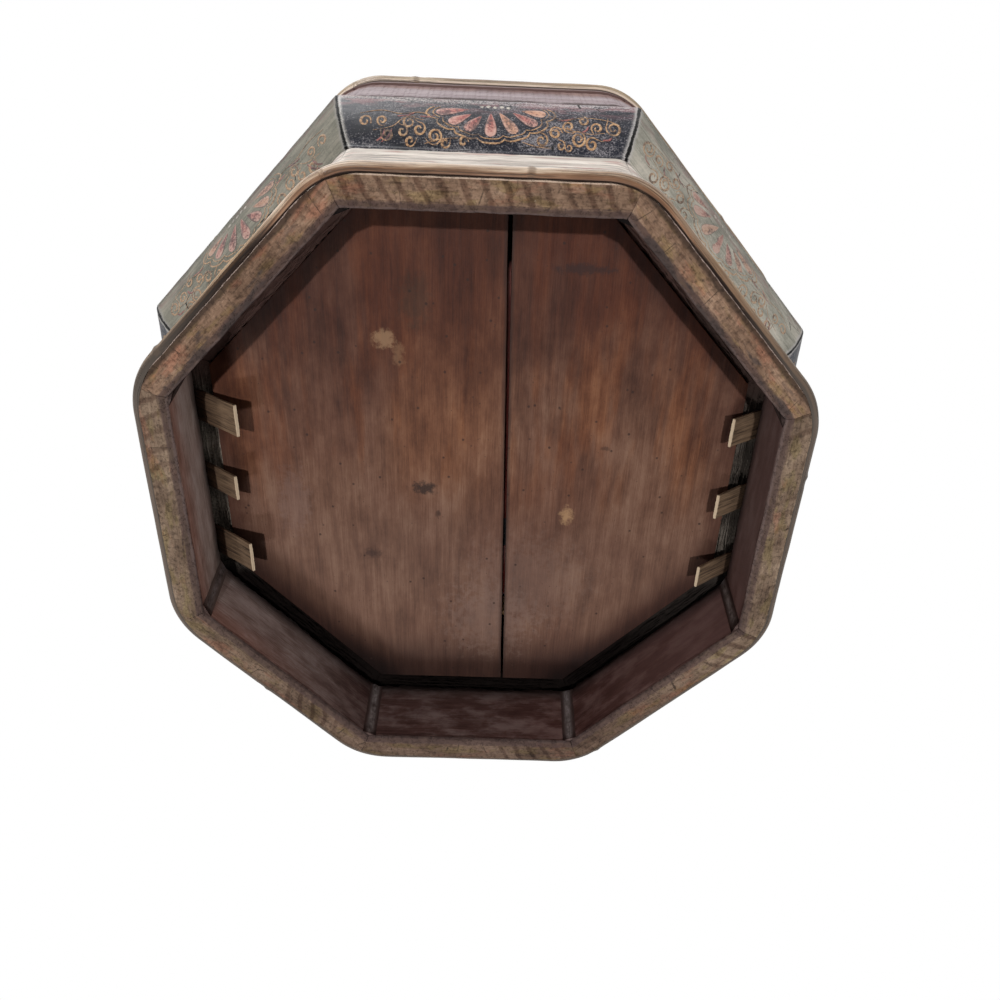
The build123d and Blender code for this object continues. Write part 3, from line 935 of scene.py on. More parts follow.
# Side panels
# Eight convex boards under black lacquer, painted with a half flower and scrolls. The lacquer is dusty, and
# worn through to pale ground along the mitres and the long edges. On the two slanting front sides it is
# painted grey, dust and painted sheen together, with less sheen on the left.

panel_rim_out, _, panel_bottom, panel_top = extent("side_panel_front")
panel_foot_out = panel_rim_out - 20.0
panel_foot_inner = panel_foot_out - 6.7
panel_rim_inner = panel_rim_out - 8.5
panel_bulge = 2.6
panel_foot_edge = 1.6


def arc_point(start, end, bulge, share, lift=0.0):
    """The (out, up) place at a share of a shallow arc between two others, and lifted off it."""
    run, rise = end[0] - start[0], end[1] - start[1]
    length = hypot(run, rise)
    off = 4 * bulge * share * (1 - share) + lift
    return start[0] + run * share + off * rise / length, start[1] + rise * share - off * run / length


def bow(start, end, bulge, count):
    """Outline points on a shallow arc, without its last point."""
    return [(*arc_point(start, end, bulge, i / count), 0.0) for i in range(count)]


def lacquer_finish(name, ground, dust_colour, dust_share, sheen, edge_colour, left_tone=1.0):
    """Lacquer over wood: the ground with its dust on the painted face and red on the inner one. left_tone
    darkens the painted face on the basket's left; with the grey ground, which is dust and painted sheen,
    that gives less sheen there.
    """
    finish = Finish(name)
    place = finish.attribute("place")
    where = finish.where()
    to_left = finish.parts(where)[0].rise(0.02, -0.02)
    _, _, up = finish.parts(place)
    radial, mitre, _ = finish.parts(finish.attribute("facing"))
    cloud = finish.grain(place, (0.04, 0.08, 0.08), 5, 0.65)
    streak = finish.grain(place, (0.04, 0.5, 0.9), 5, 0.7)
    speckle = finish.grain(place, (1.1, 1.1, 1.1), 4, 0.75)
    face = finish.ramp(cloud * 0.6 + streak * 0.4, *ground)
    dusty = (speckle * 0.8 + cloud * 0.4).rise(0.59, 0.74)
    face = face.coated(dusty * dust_share, dust_colour)
    face = face.coated(streak.rise(0.6, 0.76) * 0.45, (0.3, 0.2, 0.2))
    below_top = panel_top - up
    blush = finish.grain(place, (0.06, 0.25, 0.25), 5, 0.65, shift=(6.0, 0.0, 3.0))
    faint = finish.mix(blush.rise(0.42, 0.56), edge_colour, (0.32, 0.14, 0.15))
    face = face.coated(blush.rise(0.46, 0.58) * below_top.rise(15, 4) * 0.5, faint)
    rubbed_edge = (below_top - streak * 8.0 + 4.0).rise(6.5, 2.5) * below_top.rise(-3.0, -2.0)
    face = face.coated(rubbed_edge * (speckle * 0.8 + streak * 0.3).rise(0.44, 0.66) * 0.9, edge_colour)
    worn = (mitre + speckle * 4 - cloud * 4.5).rise(2.8, 0.6)
    face = face.coated(worn * 0.85, (0.55, 0.52, 0.5))
    split = finish.cracks(finish.stretch(place, 0.02, 0.045, 0.045, (1.7, 0.4, 0.9)))
    fissure = (split + speckle * 0.02).rise(0.019, 0.012) * cloud.rise(0.51, 0.59)
    crack = (mitre + speckle * 2.2 - cloud * 2.4).rise(1.2, 0.5).most(fissure)
    face = face.coated(crack, (0.008, 0.008, 0.008))
    face = face.stained((left_tone, left_tone, left_tone * 0.96), to_left)
    lining = finish.ramp(streak, (0.3, (0.09, 0.013, 0.009)), (0.7, (0.17, 0.025, 0.016)))
    outer = radial.rise(-0.35, 0.1)
    colour = finish.mix(outer, lining, face)
    gloss = sheen + cloud * 0.2 + dusty * 0.25
    height = speckle * 0.35 + streak * 0.3 - crack
    shine = {"specular_ior_level": 0.16, "coat_weight": 0.04, "coat_roughness": 0.35}
    return finish.done(colour, gloss, height, 0.2, **shine)


black_ground = ((0.38, (0.004, 0.005, 0.01)), (0.52, (0.01, 0.012, 0.022)), (0.66, (0.04, 0.036, 0.046)))
grey_ground = ((0.36, (0.17, 0.17, 0.14)), (0.5, (0.36, 0.345, 0.29)), (0.64, (0.58, 0.54, 0.46)))
black_lacquer = lacquer_finish(
    "black_lacquer",
    black_ground,
    dust_colour=(0.46, 0.43, 0.45),
    dust_share=0.6,
    sheen=0.38,
    edge_colour=(0.56, 0.5, 0.5),
)
# The slanting front sides take a grey ground: dust and painted sheen together, darker on the left.
dust_and_sheen_lacquer = lacquer_finish(
    "dust_and_sheen_lacquer",
    grey_ground,
    dust_colour=(0.66, 0.6, 0.52),
    dust_share=0.5,
    sheen=0.6,
    edge_colour=(0.12, 0.115, 0.095),
    left_tone=0.5,
)
SLANTING = ("front_left", "front_right")
panel_arc = [(panel_foot_out, panel_bottom + panel_foot_edge), (panel_rim_out, panel_top), panel_bulge]
panel_outline = softened(
    [(panel_foot_inner, panel_bottom, 0.0), (panel_foot_out, panel_bottom, 0.0)]
    + bow(*panel_arc, 12)
    + [(panel_rim_out, panel_top, 0.0)]
    + bow((panel_rim_inner, panel_top), (panel_foot_inner, panel_bottom), -panel_bulge, 10),
    radius=0.7,
    step=2.0,
)
for side in SIDES:
    panel = side_bar(f"side_panel_{side}_lacquered", side, panel_outline, arris=0.8, wear=0.2)
    lacquer = dust_and_sheen_lacquer if side in SLANTING else black_lacquer
    fit(panel, "basket", "black_lacquer", lacquer, f"side_panel_{side}")


# Painting
# Oil colours brushed over the lacquer: a half flower at the rim with petals that pale towards
# their edges, a scalloped gold outline round it, and gold curls to both sides.

PETAL, GOLD, PALE, RED = 0.0, 1.0, 2.0, 3.0
random_brush = random.Random(5)
brush_relief = 0.1


class Painting:
    """Brush strokes on a surface that place(u, w, lift) gives in millimetres."""

    def __init__(self, place):
        self.place = place
        self.points, self.faces, self.strokes = [], [], []

    def stroke(self, line, half_widths, kind, relief=brush_relief):
        """One stroke along (u, w) points, thin at its edges and thick in its middle."""
        line = np.asarray(line, float)
        ahead = np.gradient(line, axis=0)
        ahead /= np.maximum(np.linalg.norm(ahead, axis=1), 1e-9)[:, None]
        aside = np.stack([-ahead[:, 1], ahead[:, 0]], 1)
        base = len(self.points)
        seed = random_brush.uniform(0, 100)
        for i, (middle, side_way, half) in enumerate(zip(line, aside, half_widths)):
            for across, lift in ((-1, -0.04), (-0.5, 0.8), (0, 1), (0.5, 0.8), (1, -0.04)):
                u, w = middle + side_way * half * across
                self.points.append(self.place(u, w, lift * relief))
                self.strokes.append((i / (len(line) - 1) + 2 * kind, across, seed))
        self.faces += tube_faces(len(line), 5, base=base)

    def petal(self, tip, end, half_width):
        """A drop-shaped petal, pointed at its tip and round at its end."""
        shares = np.linspace(0, 1, 18)
        tip, end = np.array(tip, float), np.array(end, float)
        line = tip + (end - tip) * shares[:, None]
        widths = half_width * 1.25 * shares**0.75 * np.sqrt(1 - shares**4.5) + 0.02
        self.stroke(line, widths, PETAL)

    def curl(self, middle, radius, start, turns, tail, kind=GOLD, tall=1.35, half=0.5):
        """A curl that winds out from its middle and leaves with a tail."""
        count = 30
        line, widths = [], []
        for i in range(count):
            share = i / (count - 1)
            turn = radians(start) + turns * 2 * pi * share
            reach = radius * (0.22 + 0.78 * share**0.8)
            line.append((middle[0] + reach * cos(turn), middle[1] + reach * tall * sin(turn)))
            widths.append(half * (0.6 + 0.7 * sin(pi * share)))
        last, before = np.array(line[-1]), np.array(line[-2])
        away = (last - before) / np.linalg.norm(last - before)
        for i in range(1, 6):
            line.append(tuple(last + away * tail * i / 5 + np.array((0, 0.06 * i * i))))
            widths.append(half * 0.55 * (1 - i / 6))
        self.stroke(line, widths, kind)

    def line(self, points, half, kind=GOLD, count=40):
        """A smooth thin line through a few (u, w) points."""
        points = np.array(points, float)
        places = np.linspace(0, len(points) - 1, count)
        padded = np.vstack([2 * points[0] - points[1], points, 2 * points[-1] - points[-2]])
        line = []
        for at in places:
            i = min(int(at), len(points) - 2)
            t = at - i
            a, b, c, d = padded[i : i + 4]
            square, cube = 2 * a - 5 * b + 4 * c - d, 3 * b - a - 3 * c + d
            line.append(0.5 * (2 * b + (c - a) * t + square * t**2 + cube * t**3))
        widths = [half * (0.6 + 0.4 * sin(pi * i / (count - 1))) for i in range(count)]
        self.stroke(line, widths, kind)

    def dot(self, middle, radius, kind=PALE):
        shares = np.linspace(-1, 1, 9)
        line = [(middle[0] + radius * t, middle[1]) for t in shares]
        self.stroke(line, radius * np.sqrt(1 - shares**2) + 0.02, kind)

    def finished(self, name):
        return mesh_object(name, self.points, self.faces, {"stroke": self.strokes}, flat_angle=80)


def scalloped(painting, flower, petals, spread, half):
    """A gold line that goes round the ends of the petals in one arc for each."""
    middle = np.array(flower)
    ends = [np.array(end) - middle for _, end in petals]
    turns = [atan2(y, x) for x, y in ends]
    turns = [2 * turns[0] - turns[1]] + turns + [2 * turns[-1] - turns[-2]]
    reaches = [hypot(*end) for end in ends]
    reaches = [reaches[0] * 0.9] + reaches + [reaches[-1] * 0.9]
    for index in range(1, len(turns) - 1):
        turn, reach = turns[index], reaches[index] * (1.03 + spread)
        points = []
        for swing in (-1.0, -0.8, -0.5, 0.0, 0.5, 0.8, 1.0):
            other = index + (1 if swing > 0 else -1)
            at = turn + abs(swing) / 2 * (turns[other] - turn)
            joint = (reaches[index] + reaches[other]) / 2 * (1.03 + spread)
            out = reach + (joint - reach) * abs(swing) - 0.085 * reach * abs(swing) ** 3
            points.append(middle + out * np.array((cos(at), sin(at))))
        painting.line(points, half, count=24)


FLOWER = (2.0, 28.5)
PETALS = (
    ((-9.5, 26.5), (-25.5, 23.0)),
    ((-8.2, 22.6), (-18.8, 15.6)),
    ((-3.0, 21.8), (-10.4, 11.0)),
    ((1.3, 24.0), (1.6, 7.8)),
    ((5.6, 24.6), (13.8, 10.2)),
    ((12.2, 25.0), (24.0, 16.0)),
    ((16.5, 27.0), (28.5, 24.5)),
)
CURLS = (
    ((-58.9, 14.4), 3.0, 40, -1.15, 2.0),
    ((-50.9, 15.2), 2.6, 200, 1.2, 1.8),
    ((-37.8, 14.8), 3.1, 160, -1.25, 3.0),
    ((-33.1, 11.1), 3.2, 20, 1.2, 2.4),
    ((-41.1, 8.9), 2.7, 60, 1.1, 2.0),
    ((-48.0, 6.9), 2.9, 250, -1.2, 3.4),
    ((-36.7, 4.1), 2.4, 300, 1.1, 2.6),
    ((-25.4, 7.4), 3.7, 90, -1.6, 2.6),
    ((-19.9, 3.7), 2.3, 330, 1.1, 1.6),
    ((-11.3, 4.6), 2.3, 10, -1.0, 2.0),
    ((39.2, 16.8), 2.9, 200, 1.2, 3.2),
    ((33.4, 11.8), 3.1, 120, -1.3, 2.2),
    ((26.7, 7.0), 3.1, 20, 1.2, 2.6),
    ((44.0, 8.9), 3.8, 250, 1.7, 2.2),
    ((50.9, 5.6), 3.1, 140, -1.25, 5.0),
    ((35.4, 4.2), 2.2, 60, 1.1, 1.6),
    ((39.6, 3.7), 1.8, 200, -1.1, 1.2),
    ((53.0, 16.3), 2.9, 150, 1.2, 2.0),
    ((61.2, 16.0), 3.9, 330, -1.5, 4.2),
    ((46.2, 21.4), 2.6, 40, 1.1, 2.0),
)
RED_STROKES = (
    ((-53, 3), (-49.5, 9.5)),
    ((-50.5, 2.5), (-46, 10.5)),
    ((-44, 19), (-36, 22)),
    ((-33, 19.5), (-26, 20.5)),
    ((34, 20.5), (42, 23)),
    ((45, 12.5), (49, 17)),
    ((56, 8.5), (60.5, 10.5)),
)
TRAILS = (
    ((-62, 20), (-52, 23), (-43, 21), (-34, 22.5), (-28, 21)),
    ((-55, 9), (-46, 12), (-40, 18), (-31, 17)),
    ((30, 24), (38, 21), (47, 23.5), (58, 22), (64, 19)),
    ((29, 12), (36, 15), (42, 13.5), (50, 12), (57, 13)),
    ((-30, 2.6), (-22, 5.5), (-14, 6.5)),
    ((17, 5.5), (24, 3.4), (31, 2.8)),
)


def panel_painting(name, place, flip, narrow=1.0):
    """The half flower with its scrolls, turned round for every other side."""
    painting = Painting(lambda u, w, lift: place(flip * u * narrow, w, lift))
    for tip, end in PETALS:
        painting.petal(tip, end, half_width=3.5)
    scalloped(painting, FLOWER, PETALS, spread=0.02, half=0.3)
    scalloped(painting, FLOWER, PETALS, spread=0.14, half=0.5)
    for index in range(5):
        painting.dot((-3.2 + 3.3 * index, 29.4 + 0.5 * (index % 2)), radius=1.1)
    for middle, radius, start, turns, tail in CURLS:
        drift = (middle[0] + random_brush.uniform(-0.4, 0.4), middle[1] + random_brush.uniform(-0.4, 0.4))
        painting.curl(drift, radius, start, turns, tail)
    for start, end in RED_STROKES:
        bend = ((start[0] + end[0]) / 2 + 0.8, (start[1] + end[1]) / 2 - 0.6)
        painting.line([start, bend, end], half=0.55, kind=RED, count=12)
    for points in TRAILS:
        painting.line(points, half=0.24)
    return painting.finished(name)


def paint_finish(name, faded):
    """Oil colours rubbed thin: faded is the share of a pale veil over them, dust and painted sheen
    together, paler on the basket's right than on its left.
    """
    finish = Finish(name)
    share, across, seed = finish.parts(finish.attribute("stroke"))
    where = finish.where()
    mottle = finish.cloud(where, scale=750, detail=4, roughness=0.75)
    patch = finish.cloud(where, scale=110, detail=4)
    edge = abs(across)
    along = share.least(1.0)
    petal = finish.ramp(
        mottle * 0.55 + patch * 0.25 + along * 0.2,
        (0.38, (0.2, 0.035, 0.035)),
        (0.5, (0.4, 0.12, 0.1)),
        (0.62, (0.62, 0.36, 0.3)),
    )
    warm = finish.node("ShaderNodeMath", {"operation": "FRACT"}, {0: seed})
    petal = petal.coated(warm.rise(0.62, 0.66) * 0.5, (0.6, 0.36, 0.2))
    petal = petal.coated(edge.rise(0.3, 0.75) * 0.5, (0.66, 0.44, 0.37))
    petal = petal.coated(edge.rise(0.8, 0.98) * 0.85, (0.05, 0.022, 0.022))
    gold = finish.ramp(
        mottle,
        (0.35, (0.22, 0.11, 0.05)),
        (0.5, (0.45, 0.25, 0.12)),
        (0.66, (0.66, 0.46, 0.28)),
    )
    pale = finish.ramp(mottle, (0.35, (0.4, 0.36, 0.32)), (0.65, (0.7, 0.64, 0.56)))
    red = finish.ramp(mottle, (0.35, (0.18, 0.04, 0.035)), (0.65, (0.42, 0.16, 0.14)))
    colour = finish.mix(share.rise(1.5, 1.6), petal, gold)
    colour = colour.coated(share.rise(3.5, 3.6), pale)
    colour = colour.coated(share.rise(5.5, 5.6), red)
    rubbed = (patch * 0.5 + mottle * 0.5).rise(0.52, 0.42)
    colour = colour.coated(rubbed * 0.75, (0.04, 0.036, 0.04))
    veil = (mottle * 0.6 + patch * 0.4).rise(0.3, 0.62)
    to_left = finish.parts(where)[0].rise(0.02, -0.02)
    colour = colour.coated(veil * faded, finish.mix(to_left, (0.45, 0.39, 0.33), (0.22, 0.19, 0.165)))
    return finish.done(colour, 0.5 + mottle * 0.3, mottle, 0.08, specular_ior_level=0.35)


painted_colours = paint_finish("painted_colours", 0.0)
dust_and_sheen_colours = paint_finish("dust_and_sheen_colours", 0.5)


def on_arc(side, start, end, bulge):
    """Places on the convex face of one side: along it, up it in millimetres, and off it."""
    facing = radians(SIDES[side])
    length = hypot(end[0] - start[0], end[1] - start[1])

    def place(u, w, lift):
        out, up = arc_point(start, end, bulge, w / length, lift)
        return turned(facing, out, u, up)

    return place


for number, side in enumerate(SIDES):
    place = on_arc(side, *panel_arc)
    flip = 1 if number % 2 == 0 else -1
    painting = panel_painting(f"panel_painting_{side}", place, flip)
    fit(painting, "basket", "black_lacquer", dust_and_sheen_colours if side in SLANTING else painted_colours)


# Body wall
# Flat wefts of split bamboo woven over and under upright stakes, leaning out from the panels to the rim.
# Thin red lacquer covers them, worn and grey with dust, and cloth lines the inside. On the front the grey
# is dust and painted sheen together, with painted shade under the rim and painted shadow above the panels.

wall_top_out, _, wall_bottom, wall_top = extent("body_wall")
wall_foot_out = panel_rim_out - 2.0
wall_foot_radius = 12.0
wall_top_radius = 42.0
wall_thickness = 4.5
stakes_each_side = 24
weft_rows = 24
weave_depth = 1.1
weft_swing = 0.14
weft_thickness = 0.55
stake_width = 3.6
corner_spread = 0.07
weave_flat_angle = 50
lining_depth = 2.2


def wall_place(side, share, height, depth):
    """A place on the wall: at a share of half a side, at a height and under its outer face."""
    level = (height - wall_bottom) / (wall_top - wall_bottom)
    out = wall_foot_out + (wall_top_out - wall_foot_out) * level
    radius = wall_foot_radius + (wall_top_radius - wall_foot_radius) * level
    o, a = octagon_place(np.array([out]), np.array([radius]), share)
    lean = abs(a[0]) / out
    inward = depth * (1 - corner_spread * lean)
    return turned(radians(SIDES[side]), o[0] - inward, a[0] * (1 - inward / out), height)


def weft(name, row):
    """One flat strip that goes round the basket, behind every other stake."""
    pitch = (wall_top - wall_bottom) / weft_rows
    middle = wall_bottom + pitch * (row + 0.5)
    half = pitch * 0.485
    ring = [(-half, 0.36), (0.0, 0.5), (half, 0.36)]
    ring += [(-level, -depth) for level, depth in ring]
    points, places, facings = [], [], []
    steps = stakes_each_side * 4
    for number, side in enumerate(SIDES):
        for step in range(steps):
            share = 2 * step / steps - 1
            run = (step / 4 + number * stakes_each_side) * 6.4
            phase = step / 4 + row
            swing = weft_swing * sin(pi * phase) * (1.15 - 0.15 * abs(sin(pi * phase)))
            rock = 0.12 * noise.noise(Vector((run * 0.05, row * 3.3, 2.0)))
            thick = weft_thickness * (1 + 0.25 * noise.noise(Vector((row * 7.7, run * 0.01, 8.0))))
            for level, depth in ring:
                height = min(max(middle + level + rock, wall_bottom + 0.05), wall_top - 0.05)
                under = weave_depth - swing - depth * thick
                points.append(wall_place(side, share, height, max(under, 0.1)))
                places.append((run, row * 17.0, level))
                facings.append((2 * depth, swing / weft_swing, level / half))
    faces = tube_faces(len(SIDES) * steps, len(ring), closed=True)
    return mesh_object(name, points, faces, {"place": places, "facing": facings}, weave_flat_angle)


def stakes(name, side):
    """The upright strips of one side, each bent the other way from the wefts."""
    points, faces, places, facings = [], [], [], []
    rows = weft_rows * 3
    for stake in range(stakes_each_side):
        base = len(points)
        share = 2 * (stake + 0.5) / stakes_each_side - 1
        half = stake_width / 2 / (wall_foot_out * HALF_SHARE)
        ring = [(-half, 0.2), (0.0, 0.3), (half, 0.2), (half, -0.2), (0.0, -0.3), (-half, -0.2)]
        for step in range(rows + 1):
            height = wall_bottom + 0.05 + (wall_top - wall_bottom - 0.1) * step / rows
            swing = -0.1 * sin(pi * (stake + step / 3))
            for across, depth in ring:
                points.append(wall_place(side, share + across, height, weave_depth - swing - depth))
                places.append((height, stake * 11.0, across * 80))
                facings.append((2 * depth, -1.0, across / half))
        faces += tube_faces(rows + 1, len(ring), base=base)
    return mesh_object(name, points, faces, {"place": places, "facing": facings}, weave_flat_angle)


def weave_finish():
    finish = Finish("woven_bamboo")
    place = finish.attribute("place")
    outer, _, edge = finish.parts(finish.attribute("facing"))
    fibre = finish.grain(place, (0.05, 1.0, 2.6), 4, 0.7)
    where = finish.where()
    bands = finish.grain(where, (9.0, 9.0, 260.0), 4, 0.7)
    dust = finish.cloud(where, scale=70, detail=5, roughness=0.65)
    worn = finish.cloud(where, scale=24, detail=4)
    colour = finish.ramp(
        fibre * 0.3 + worn * 0.3 + bands * 0.4,
        (0.38, (0.19, 0.145, 0.15)),
        (0.48, (0.38, 0.325, 0.33)),
        (0.6, (0.6, 0.54, 0.545)),
    )
    colour = colour.coated(dust.rise(0.45, 0.7) * 0.4, (0.5, 0.43, 0.435))
    _, y, z = finish.in_mm(where)
    height = z + worn * 14 - 7
    # Painted sheen: the grey stays only on the front; the other sides are red lacquer.
    away = y.rise(-160, -125)
    colour = colour.stained((0.82, 0.76, 0.78))
    lacquer = finish.ramp(
        fibre * 0.3 + worn * 0.4 + dust * 0.3,
        (0.4, (0.055, 0.02, 0.016)),
        (0.5, (0.13, 0.05, 0.04)),
        (0.6, (0.27, 0.16, 0.13)),
    )
    # Painted shade: the top of the front wall, under the rim, is painted in the red lacquer as well.
    lacquer_and_shade = (height.rise(wall_bottom + 46, wall_bottom + 58) * 0.9).most(away * 0.92)
    colour = colour.coated(lacquer_and_shade, lacquer)
    # The lower part of the front is painted in a darker red lacquer, and painted shadow darkens it further
    # down to the joint with the panels.
    lower_front = (height + worn * 20 + fibre * 8 - 14).rise(wall_bottom + 26, wall_bottom + 19) * (1 - away)
    colour = colour.coated(lower_front * 0.95, lacquer.stained((0.32, 0.3, 0.34)))
    darkening = (height + dust * 10 - 5).rise(wall_bottom + 22, wall_bottom)
    colour = colour.coated(darkening * 0.55, (0.02, 0.014, 0.014))
    colour = colour.coated(abs(edge).rise(0.8, 1.0) * 0.35, (0.06, 0.045, 0.042))
    colour = colour.coated(outer.rise(0.2, -0.2), (0.03, 0.012, 0.01))
    return finish.done(colour, 0.6 + dust * 0.3, fibre, 0.2, specular_ior_level=0.3)


def lining_finish():
    finish = Finish("wall_lining")
    place = finish.attribute("place")
    weave = finish.grain(place, (1.6, 1.0, 1.6), 2)
    patch = finish.grain(place, (0.03, 0.1, 0.05), 5, 0.6)
    colour = finish.ramp(
        patch * 0.75 + weave * 0.25,
        (0.34, (0.1, 0.014, 0.01)),
        (0.5, (0.2, 0.028, 0.018)),
        (0.66, (0.3, 0.075, 0.05)),
    )
    return finish.done(colour, 0.45 + patch * 0.3, weave, 0.15, specular_ior_level=0.45)


woven_bamboo = weave_finish()
for row in range(weft_rows):
    fit(weft(f"body_wall_weft_{row + 1}", row), "basket", "woven_bamboo", woven_bamboo, "body_wall")
for side in SIDES:
    uprights = stakes(f"body_wall_stakes_{side}", side)
    fit(uprights, "basket", "woven_bamboo", woven_bamboo, "body_wall")
lining_outline = softened(
    [
        (wall_foot_out - lining_depth, wall_bottom, wall_foot_radius - lining_depth),
        (wall_top_out - lining_depth, wall_top, wall_top_radius - lining_depth),
        (wall_top_out - wall_thickness, wall_top, wall_top_radius - 2 * lining_depth),
        (wall_foot_out - wall_thickness, wall_bottom, wall_foot_radius - 2 * lining_depth),
    ],
    radius=0.3,
    step=4.0,
)
lining_cloth = lining_finish()
for side in SIDES:
    lining = side_bar(f"body_wall_lining_{side}", side, lining_outline, joint=0.0, arris=0.05, wear=0.1)
    fit(lining, "basket", "woven_bamboo", lining_cloth, "body_wall")


# Rim rails
# Eight upright wooden rails that close the basket's rim, mitred at the corners. Their red lacquer
# has faded to a dusty pink grey.

rail_out, rail_inner, rail_bottom, rim_top = extent("rim_rail_front")
rail_corner_radius = 42.0


def rail_finish():
    finish = Finish("red_lacquer")
    place = finish.attribute("place")
    _, _, up = finish.parts(place)
    radial, mitre, _ = finish.parts(finish.attribute("facing"))
    streak = finish.grain(place, (0.025, 0.9, 0.9), 5, 0.7)
    patch = finish.grain(place, (0.035, 0.2, 0.2), 4)
    colour = finish.ramp(
        streak * 0.6 + patch * 0.4,
        (0.36, (0.045, 0.022, 0.022)),
        (0.47, (0.16, 0.075, 0.068)),
        (0.58, (0.33, 0.22, 0.205)),
        (0.7, (0.48, 0.41, 0.39)),
    )
    # Painted shade: the rail is painted dark under the rim hoop.
    shade_under_hoop = up.rise(rail_bottom + 18.0, rail_bottom + 16.5)
    colour = colour.coated(shade_under_hoop * 0.85, (0.09, 0.045, 0.038))
    lining = finish.ramp(streak, (0.3, (0.09, 0.014, 0.01)), (0.7, (0.21, 0.035, 0.022)))
    colour = finish.mix(radial.rise(-0.4, -0.1), lining, colour)
    colour = colour.coated(mitre.rise(0.7, 0.2), (0.02, 0.016, 0.015))
    return finish.done(colour, 0.5 + patch * 0.3, streak, 0.2, specular_ior_level=0.3)


red_lacquer = rail_finish()
rail_outline = softened(
    [
        (rail_inner, rail_bottom, 0.0),
        (rail_out, rail_bottom, rail_corner_radius),
        (rail_out, rim_top, rail_corner_radius),
        (rail_inner, rim_top, 0.0),
    ],
    radius=0.6,
    step=2.2,
)
for side in SIDES:
    rail = side_bar(f"rim_rail_{side}_worn", side, rail_outline, wear=0.15)
    fit(rail, "basket", "red_lacquer", red_lacquer, f"rim_rail_{side}")


# Rim hoop
# A second split bamboo pole, flatter than the foot's, bent round the rim rails above their middle
# and let a little way into them.

rim_hoop_proud = 2.9
rim_hoop_width = 11.0
rim_hoop_lift = 17.0
let_in = 0.5
rim_hoop = hoop(
    "rim_hoop_split_pole",
    rail_out - let_in,
    rail_bottom + rim_hoop_lift,
    rim_hoop_width,
    rim_hoop_proud + let_in,
    rail_corner_radius,
    start=70.0,
)
fit(rim_hoop, "basket", "bamboo_hoop", rim_skin, "rim_hoop")


# Rim collar
# Eight thin bamboo strips pinned inside the rim. They stand proud of it, and the lid drops over
# them.

_, _, collar_bottom, collar_top = extent("rim_collar")
collar_thickness = 4.0


def collar_finish():
    finish = Finish("collar_bamboo")
    place = finish.attribute("place")
    fibre = finish.grain(place, (0.02, 2.0, 2.2), 5, 0.7)
    patch = finish.grain(place, (0.03, 0.15, 0.15), 4)
    colour = finish.ramp(
        fibre * 0.65 + patch * 0.35,
        (0.34, (0.13, 0.062, 0.028)),
        (0.5, (0.3, 0.165, 0.078)),
        (0.66, (0.46, 0.3, 0.16)),
    )
    return finish.done(colour, 0.4 + patch * 0.3, fibre, 0.15, specular_ior_level=0.45)


collar_bamboo = collar_finish()
collar_outline = softened(
    [
        (rail_inner - collar_thickness, collar_bottom, 0.0),
        (rail_inner - 0.05, collar_bottom, 0.0),
        (rail_inner - 0.05, collar_top, 0.0),
        (rail_inner - collar_thickness, collar_top, 0.0),
    ],
    radius=1.0,
    step=2.0,
)
for side in SIDES:
    strip = side_bar(f"rim_collar_{side}_strip", side, collar_outline, wear=0.12)
    fit(strip, "basket", "collar_bamboo", collar_bamboo, "rim_collar")


# Lid rails and hoop
# Eight mitred wooden rails under red lacquer that drop over the collar, bevelled at their top. A
# third split bamboo pole is bent round them.

lid_rail_out, lid_rail_inner, lid_rail_bottom, lid_rail_top = extent("lid_rail_front")
lid_rail_bevel = 2.6
lid_hoop_lift = 1.4
lid_hoop_width = 9.0
lid_hoop_proud = 3.0
lid_rail_outline = softened(
    [
        (lid_rail_inner, lid_rail_bottom, 0.0),
        (lid_rail_out, lid_rail_bottom, rail_corner_radius),
        (lid_rail_out, lid_rail_top - lid_rail_bevel, rail_corner_radius),
        (lid_rail_out - lid_rail_bevel, lid_rail_top, rail_corner_radius),
        (lid_rail_inner, lid_rail_top, 0.0),
    ],
    radius=0.5,
    step=2.2,
)
for side in SIDES:
    rail = side_bar(f"lid_rail_{side}_worn", side, lid_rail_outline, wear=0.12)
    fit(rail, "lid", "red_lacquer", red_lacquer, f"lid_rail_{side}")
lid_hoop = hoop(
    "lid_hoop_split_pole",
    lid_rail_out,
    lid_rail_bottom + lid_hoop_lift,
    lid_hoop_width,
    lid_hoop_proud,
    rail_corner_radius,
    start=130.0,
)
fit(lid_hoop, "lid", "bamboo_hoop", bamboo_skin, "lid_hoop")


# Lid shoulder panels
# Eight convex boards that lean in from the rails to the top, lacquered and painted like the
# sides, with the half flower at their foot so that it meets the one below.

_, _, shoulder_bottom, _ = extent("lid_panel_front")
shoulder_top = shoulder_bottom + 25.0
shoulder_out = lid_rail_out - lid_rail_bevel - 1.2
shoulder_top_out = shoulder_out - 31.0
shoulder_bulge = 4.2
shoulder_thickness = 8.0
shoulder_margin = 5
shoulder_arc = [(shoulder_out, shoulder_bottom), (shoulder_top_out, shoulder_top), shoulder_bulge]
shoulder_outline = softened(
    bow(*shoulder_arc, 14)
    + [(shoulder_top_out, shoulder_top, 0.0)]
    + bow(
        (shoulder_top_out - shoulder_thickness, shoulder_top),
        (shoulder_out - shoulder_thickness, shoulder_bottom),
        -shoulder_bulge,
        10,
    )
    + [(shoulder_out - shoulder_thickness, shoulder_bottom, 0.0)],
    radius=0.6,
    step=2.0,
)
shoulder_length = hypot(shoulder_out - shoulder_top_out, shoulder_top - shoulder_bottom)
